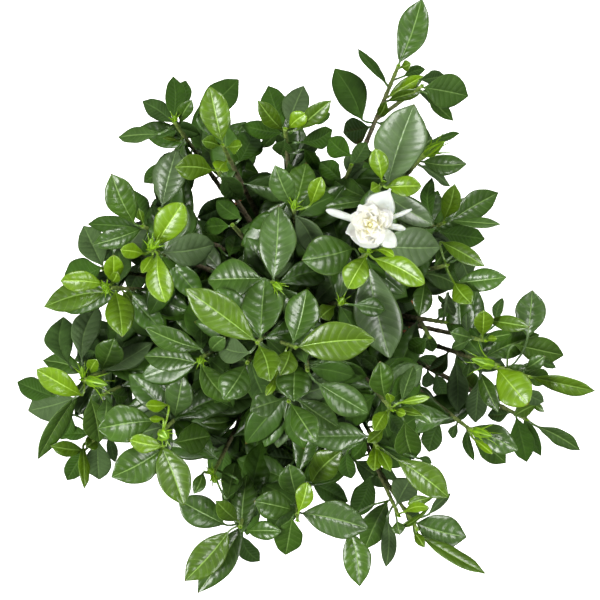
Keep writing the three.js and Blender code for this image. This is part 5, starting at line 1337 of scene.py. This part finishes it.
neck = next(s for s in shoots if s.name == "flower").stub.at(NECK_AT)[0]
centre = np.array([*FLOWER_CENTRE, neck[2] + FLOWER_RISE])
flower = Piece("flower_head", [make_petal_finish()])
for rank, (turn, *form) in enumerate(PETALS):
    turn = math.radians(turn)
    root = centre + ROOT_RING * heading(turn) + (ROOT_LIFT + RANK_LIFT * rank) * UP
    grow_petal(flower, root, turn, *form, FIRST_CREAM + RANK_CREAM * rank)
for k in range(HEART_PETALS):
    turn = math.radians(HEART_TURN * k)
    root = centre + (1.0 + 0.42 * k) * heading(turn) + (8 + 0.3 * (HEART_PETALS - k)) * UP
    grow_petal(flower, root, turn, length=4.5 + 0.5 * k, width=7 + 0.6 * k, rise=66 - 2 * k,
               cup=1.5, curl=14, point=0.2, cream=1.0)
spindle(flower, centre + 3 * UP, centre + 15.5 * UP, 3.4, finish=0, ridges=5, age=0.6)
spindle(flower, centre - 2 * UP, centre + 12 * UP, 10, finish=0, power=1, ridges=7, age=0.45)
flower.made("petal", "flower_petals")

tube = Bend(neck, [centre[0], centre[1], neck[2] + 0.4 * FLOWER_RISE], centre)
calyx = sprays["young_flower"]
share = np.linspace(0, 1, 12)
radii = np.interp(share, NECK_MARKS, NECK_RADII)
rings = round_rings(tube.at(share), radii, SPINDLE_SIDES, BUD_RIBS, 0.08)
calyx.skin(rings, GREEN, across=0.6, age=YOUNG_AGE)
for k in range(BUD_LOBES):
    away = heading(k * math.pi / 3)
    low = tube.at(0.35)[0] + away * 2.0
    grow_needle(calyx, low, low + away * 3 + 5 * UP, low + away * 9 + 9 * UP, 0.8)
print("petals:", len(PETALS) + HEART_PETALS)

# %% [markdown]
# ## Sprays become Blender objects
# The flower's neck was added to its young tip, so the sprays are made now that all are complete.

# %% Make the sprays
for name, piece in sprays.items():
    piece.made("young_leaf" if name.startswith("young_") else "leaf", name)
print("made:", len(sprays))

# %% [markdown]
# ## The wood
# Four stems stand in the soil and lean apart. Each carries the shoots on its own side, and the
# shoots that end further out are carried lower. A branch leaves its stem in a bend and meets the
# foot of its shoot.

# %% Stems and branches
POT_HEIGHT, RIM_RADIUS, FOOT_RADIUS, WALL, FLOOR_THICK = 165, 95, 62, 7, 9
BAND_HEIGHT, BAND_STEP, SOIL_LEVEL, SOIL_DOME = 30, 5, 148, 5
TRUNKS, TRUNK_RING, TRUNK_TOP, TRUNK_SPREAD, TRUNK_DEPTH = 4, 15, 234, 16, 40
TRUNK_RADIUS, TRUNK_TOP_RADIUS, TRUNK_ROWS, TRUNK_SIDES = 6, 4, 40, 18
BRANCH_RADIUS, BRANCH_HIGHEST, BRANCH_LOWEST, BRANCH_STEP, BRANCH_SIDES = 3.1, 0.97, 0.16, 4, 10
KNOT_WAVE, KNOT_CHANCE = 0.05, 0.04
GROUND = SOIL_LEVEL + SOIL_DOME + 1


def trunk_bend(index):
    way = heading(2 * math.pi * (index + 0.5) / TRUNKS)
    low = way * TRUNK_RING + GROUND * UP
    middle = way * (TRUNK_RING + 2) + (GROUND + TRUNK_TOP) / 2 * UP
    return Bend(low, middle, way * (TRUNK_RING + TRUNK_SPREAD) + TRUNK_TOP * UP)


def side_of(x, y):
    """The number of the stem that carries a shoot with its top at this place."""
    return int((math.atan2(y, x) / (2 * math.pi) % 1) * TRUNKS)


def rough_tube(piece, places, radii, sides):
    """A stem with knots, which swell and thin it a little."""
    knots = 1 + KNOT_WAVE * np.sin(places[:, 2] * 0.31 + 1.3)
    knots += KNOT_CHANCE * chance.standard_normal(len(places))
    core = places[:, None]
    rings = round_rings(places, radii, sides)
    piece.skin(core + (rings - core) * knots[:, None, None])


def grow_wood(index):
    bend = trunk_bend(index)
    piece = Piece(f"wood_grain_{index + 1}", [bark_finish])
    share = np.linspace(0, 1, TRUNK_ROWS)
    buried = bend.at(0) - [[0, 0, TRUNK_DEPTH], [0, 0, TRUNK_DEPTH / 2]]
    radii = TRUNK_RADIUS + (TRUNK_TOP_RADIUS - TRUNK_RADIUS) * share
    radii = np.concatenate([[TRUNK_RADIUS] * 2, radii])
    radii[6:] *= 0.97
    rough_tube(piece, np.concatenate([buried, bend.along(share)]), radii, TRUNK_SIDES)
    mine = [s for s in shoots if side_of(*s.reading["top"]) == index]
    mine.sort(key=lambda s: math.hypot(*s.reading["top"]))
    for shoot, height in zip(mine, np.linspace(BRANCH_HIGHEST, BRANCH_LOWEST, len(mine))):
        start, foot, way = bend.along(height)[0], shoot.main.marks[0], shoot.main.way(0)[0]
        branch = Bend(start, foot - way * 0.4 * math.dist(start, foot), foot - way * SEAT_GAP)
        share = np.linspace(0, 1, max(6, round(branch.length / BRANCH_STEP)))
        radii = BRANCH_RADIUS + (OLD_RADIUS - BRANCH_RADIUS) * share
        rough_tube(piece, branch.along(share), radii, BRANCH_SIDES)
    return piece.made("bark", f"wood_{index + 1}")


wood = [grow_wood(index) for index in range(TRUNKS)]
print("wood pieces:", [piece.name for piece in wood])

# %% [markdown]
# ## The pot
# The photograph hides the pot, so it is the plain clay one that a shrub of this size is sold in. It
# is a turned profile with a band below the rim. The clay is a little uneven in colour, and pale
# salts bloom near the foot where water has dried. Three drain holes are cut through the floor.

# %% Clay, and the turned pot
POT_SIDES, WALL_ROWS, CORNER_CUT, CORNER_STEPS = 128, 9, 1.2, 4
DRAIN_RADIUS, DRAIN_RING, DRAIN_COUNT, DRILL_LENGTH = 6, 33, 3, 40
SALT_HEIGHT, SALT_SHARE = 0.075, 0.34
BAND_LOW = POT_HEIGHT - BAND_HEIGHT


def make_clay_finish():
    paint = Finish("fired_clay")
    patches = paint.mottled(scale=26.0, detail=5.0)
    grains = paint.mottled(scale=900.0, detail=2.0)
    clay = paint.mix(patches["Value"], srgb(158, 92, 62), srgb(186, 116, 82))
    height = paint.node("SeparateXYZ", {0: paint.place()})["Z"]
    low = paint.smooth(height, 0.0, SALT_HEIGHT, SALT_SHARE, 0.0)
    bloom = paint.times(low, patches["Patches"])
    paint.shade({"Base Color": paint.mix(bloom, clay, srgb(226, 208, 190)), "Roughness": 0.86})
    paint.bump(grains["Patches"], strength=0.25, distance=0.0004)
    return paint.material


def wall_radius(z):
    return FOOT_RADIUS + (RIM_RADIUS - BAND_STEP - FOOT_RADIUS) * z / BAND_LOW


def inner_radius(z):
    """The hollow of the pot, which has to stay inside the rim as well."""
    return min(wall_radius(z) - WALL, RIM_RADIUS - WALL - 2)


def rounded(outline):
    """An outline with each corner cut by a short bend."""
    marks = [np.array(mark, float) for mark in outline]
    rows = [marks[0]]
    for before, corner, after in zip(marks, marks[1:], marks[2:]):
        cut = min(CORNER_CUT, 0.4 * math.dist(before, corner), 0.4 * math.dist(corner, after))
        start, end = corner + unit(before - corner) * cut, corner + unit(after - corner) * cut
        for t in np.linspace(0, 1, CORNER_STEPS):
            rows.append((1 - t) ** 2 * start + 2 * t * (1 - t) * corner + t * t * end)
    return np.array(rows + [marks[-1]])


def turned(piece, outline, sides):
    """A closed body turned from an outline that starts below and ends above, near the axis."""
    turns = 2 * np.pi * np.arange(sides) / sides
    radius, height = outline[:, :1], np.repeat(outline[:, 1:], sides, axis=1)
    piece.skin(np.stack([radius * np.cos(turns), radius * np.sin(turns), height], axis=-1))


def cut_hole(body, turn):
    """Cuts one drain hole and leaves a plain mesh."""
    bpy.ops.mesh.primitive_cylinder_add(
        vertices=32, radius=DRAIN_RADIUS * MM, depth=DRILL_LENGTH * MM,
        location=DRAIN_RING * MM * heading(turn))
    drill = bpy.context.object
    cut = body.modifiers.new("drain", "BOOLEAN")
    cut.operation, cut.solver, cut.object = "DIFFERENCE", "EXACT", drill
    bpy.context.view_layer.update()
    whole = body.evaluated_get(bpy.context.evaluated_depsgraph_get())
    mesh = bpy.data.meshes.new_from_object(whole)
    body.modifiers.clear()
    body.data = mesh
    bpy.data.objects.remove(drill)


pot_piece = Piece("clay_pot", [make_clay_finish()])
turned(pot_piece, rounded([
    [0.5, 0], [FOOT_RADIUS - 3, 0],
    *[[wall_radius(z), z] for z in np.linspace(3, BAND_LOW, WALL_ROWS)],
    [RIM_RADIUS - 1, BAND_LOW + 2], [RIM_RADIUS, POT_HEIGHT - 4], [RIM_RADIUS - 3, POT_HEIGHT],
    [RIM_RADIUS - WALL, POT_HEIGHT - 1], [inner_radius(BAND_LOW), BAND_LOW],
    [inner_radius(FLOOR_THICK), FLOOR_THICK], [0.5, FLOOR_THICK],
]), POT_SIDES)
pot = pot_piece.made("terracotta", "pot")
for k in range(DRAIN_COUNT):
    cut_hole(pot, 2 * math.pi * k / DRAIN_COUNT)
print("pot faces:", len(pot.data.polygons))

# %% [markdown]
# ## The soil
# Potting soil is a dark crumbly bed with chips of bark and a few white grains. The bed is one bumpy
# turned body. The crumbs are small blocks, each with its own size and turn, scattered over it.

# %% The bed, its crumbs and its white grains
SOIL_RINGS, SOIL_SIDES, SOIL_BUMP, SOIL_ROOM = 26, 96, 0.8, 0.4
CRUMBS, CRUMB_SIZE, GRAINS, GRAIN_SIZE, STEM_CLEAR = 620, (2.0, 6.5), 110, (1.4, 3.2), 9
SOIL_EDGE = min(wall_radius(SOIL_LEVEL), RIM_RADIUS - 2) - WALL - 0.9
BLOCK = np.array([[x, y, z] for x in (-1, 1) for y in (-1, 1) for z in (-1, 1)])
BLOCK_FACES = np.array([
    [0, 1, 3, 2], [4, 6, 7, 5], [0, 4, 5, 1], [2, 3, 7, 6], [0, 2, 6, 4], [1, 5, 7, 3],
])


def make_soil_finish(name, dark, light, roughness):
    paint = Finish(name)
    patches = paint.mottled(scale=420.0, detail=5.0)
    paint.shade({"Base Color": paint.mix(patches["Value"], dark, light), "Roughness": roughness})
    paint.bump(patches["Patches"], strength=0.6, distance=0.001)
    return paint.material


def soil_height(radius):
    return float(np.interp(radius, [0, 0.6 * SOIL_EDGE, SOIL_EDGE],
                           [SOIL_LEVEL + SOIL_DOME, SOIL_LEVEL + 0.75 * SOIL_DOME, SOIL_LEVEL]))


def add_block(piece, place, size, finish):
    """A block with shifted corners, turned by chance."""
    turns = chance.uniform(0, 2 * math.pi, 3)
    points = BLOCK * size / 2 * chance.uniform(0.75, 1.0, (8, 3))
    cos, sin = np.cos(turns), np.sin(turns)
    spin = np.array([[cos[0], -sin[0], 0], [sin[0], cos[0], 0], [0, 0, 1]])
    tip = np.array([[1, 0, 0], [0, cos[1], -sin[1]], [0, sin[1], cos[1]]])
    piece.add(points @ (spin @ tip).T + place, BLOCK_FACES, finish)


def scatter(count, sizes, finish):
    """Lays blocks on the bed, none of them at the foot of a stem."""
    for _ in range(count):
        turn = chance.uniform(0, 2 * math.pi)
        radius = SOIL_EDGE * 0.97 * math.sqrt(chance.uniform(0, 1))
        size = chance.uniform(*sizes)
        place = radius * heading(turn)
        if min(math.dist(place[:2], foot[:2]) for foot in feet) > STEM_CLEAR:
            shape = size * np.array([1, chance.uniform(0.4, 0.9), chance.uniform(0.3, 0.6)])
            add_block(soil, place + (soil_height(radius) + 0.2) * UP, shape, finish)


soil = Piece("soil_bed", [
    make_soil_finish("dark_soil", srgb(34, 26, 19), srgb(64, 50, 37), 0.95),
    make_soil_finish("bark_chip", srgb(66, 46, 30), srgb(110, 80, 54), 0.85),
    make_soil_finish("white_grain", srgb(206, 202, 190), srgb(236, 232, 222), 0.8),
])
low = FLOOR_THICK + 0.3
outline = [[0.3, low], [wall_radius(low) - WALL - SOIL_ROOM, low],
           [wall_radius(BAND_LOW) - WALL - SOIL_ROOM, BAND_LOW]]
outline += [[r, soil_height(r)] for r in np.linspace(SOIL_EDGE, 0.3, SOIL_RINGS)]
turned(soil, np.array(outline), SOIL_SIDES)
bed = soil.points[-1]
bumps = np.where(bed[:, 2] > SOIL_LEVEL - 0.5, chance.normal(0, SOIL_BUMP, len(bed)), 0)
bed[:, 2] += np.clip(bumps, -1.4, 1.4)
feet = [trunk_bend(k).marks[0] for k in range(TRUNKS)]
scatter(CRUMBS, CRUMB_SIZE, 1)
scatter(GRAINS, GRAIN_SIZE, 2)
soil.made("potting_soil", "soil")
print("soil points:", soil.count)

# %% [markdown]
# ## The floor
# The plant stands on a plain floor. The camera sees a white one, as in the photograph. All other
# rays see a dark green one, so that steep leaves at the rim mirror a garden's green and no bright
# ground.

# %% The pale floor and the end
FLOOR_SIZE, FLOOR_GLOW = 10, 0.7
WHITE, SHADE_GREEN = (1, 1, 1, 1), (0.05, 0.1, 0.03, 1)


def make_floor_finish():
    paint = Finish("pale_floor")
    seen = paint.node("LightPath", {})["Is Camera Ray"]
    paint.shade({
        "Base Color": paint.mix(seen, SHADE_GREEN, WHITE), "Roughness": 0.9,
        "Emission Color": WHITE, "Emission Strength": paint.times(seen, FLOOR_GLOW)})
    return paint.material


bpy.ops.mesh.primitive_plane_add(size=FLOOR_SIZE, location=(0, 0, -0.0005))
floor = bpy.context.object
floor.name = "pale_floor"
floor.data.materials.append(make_floor_finish())

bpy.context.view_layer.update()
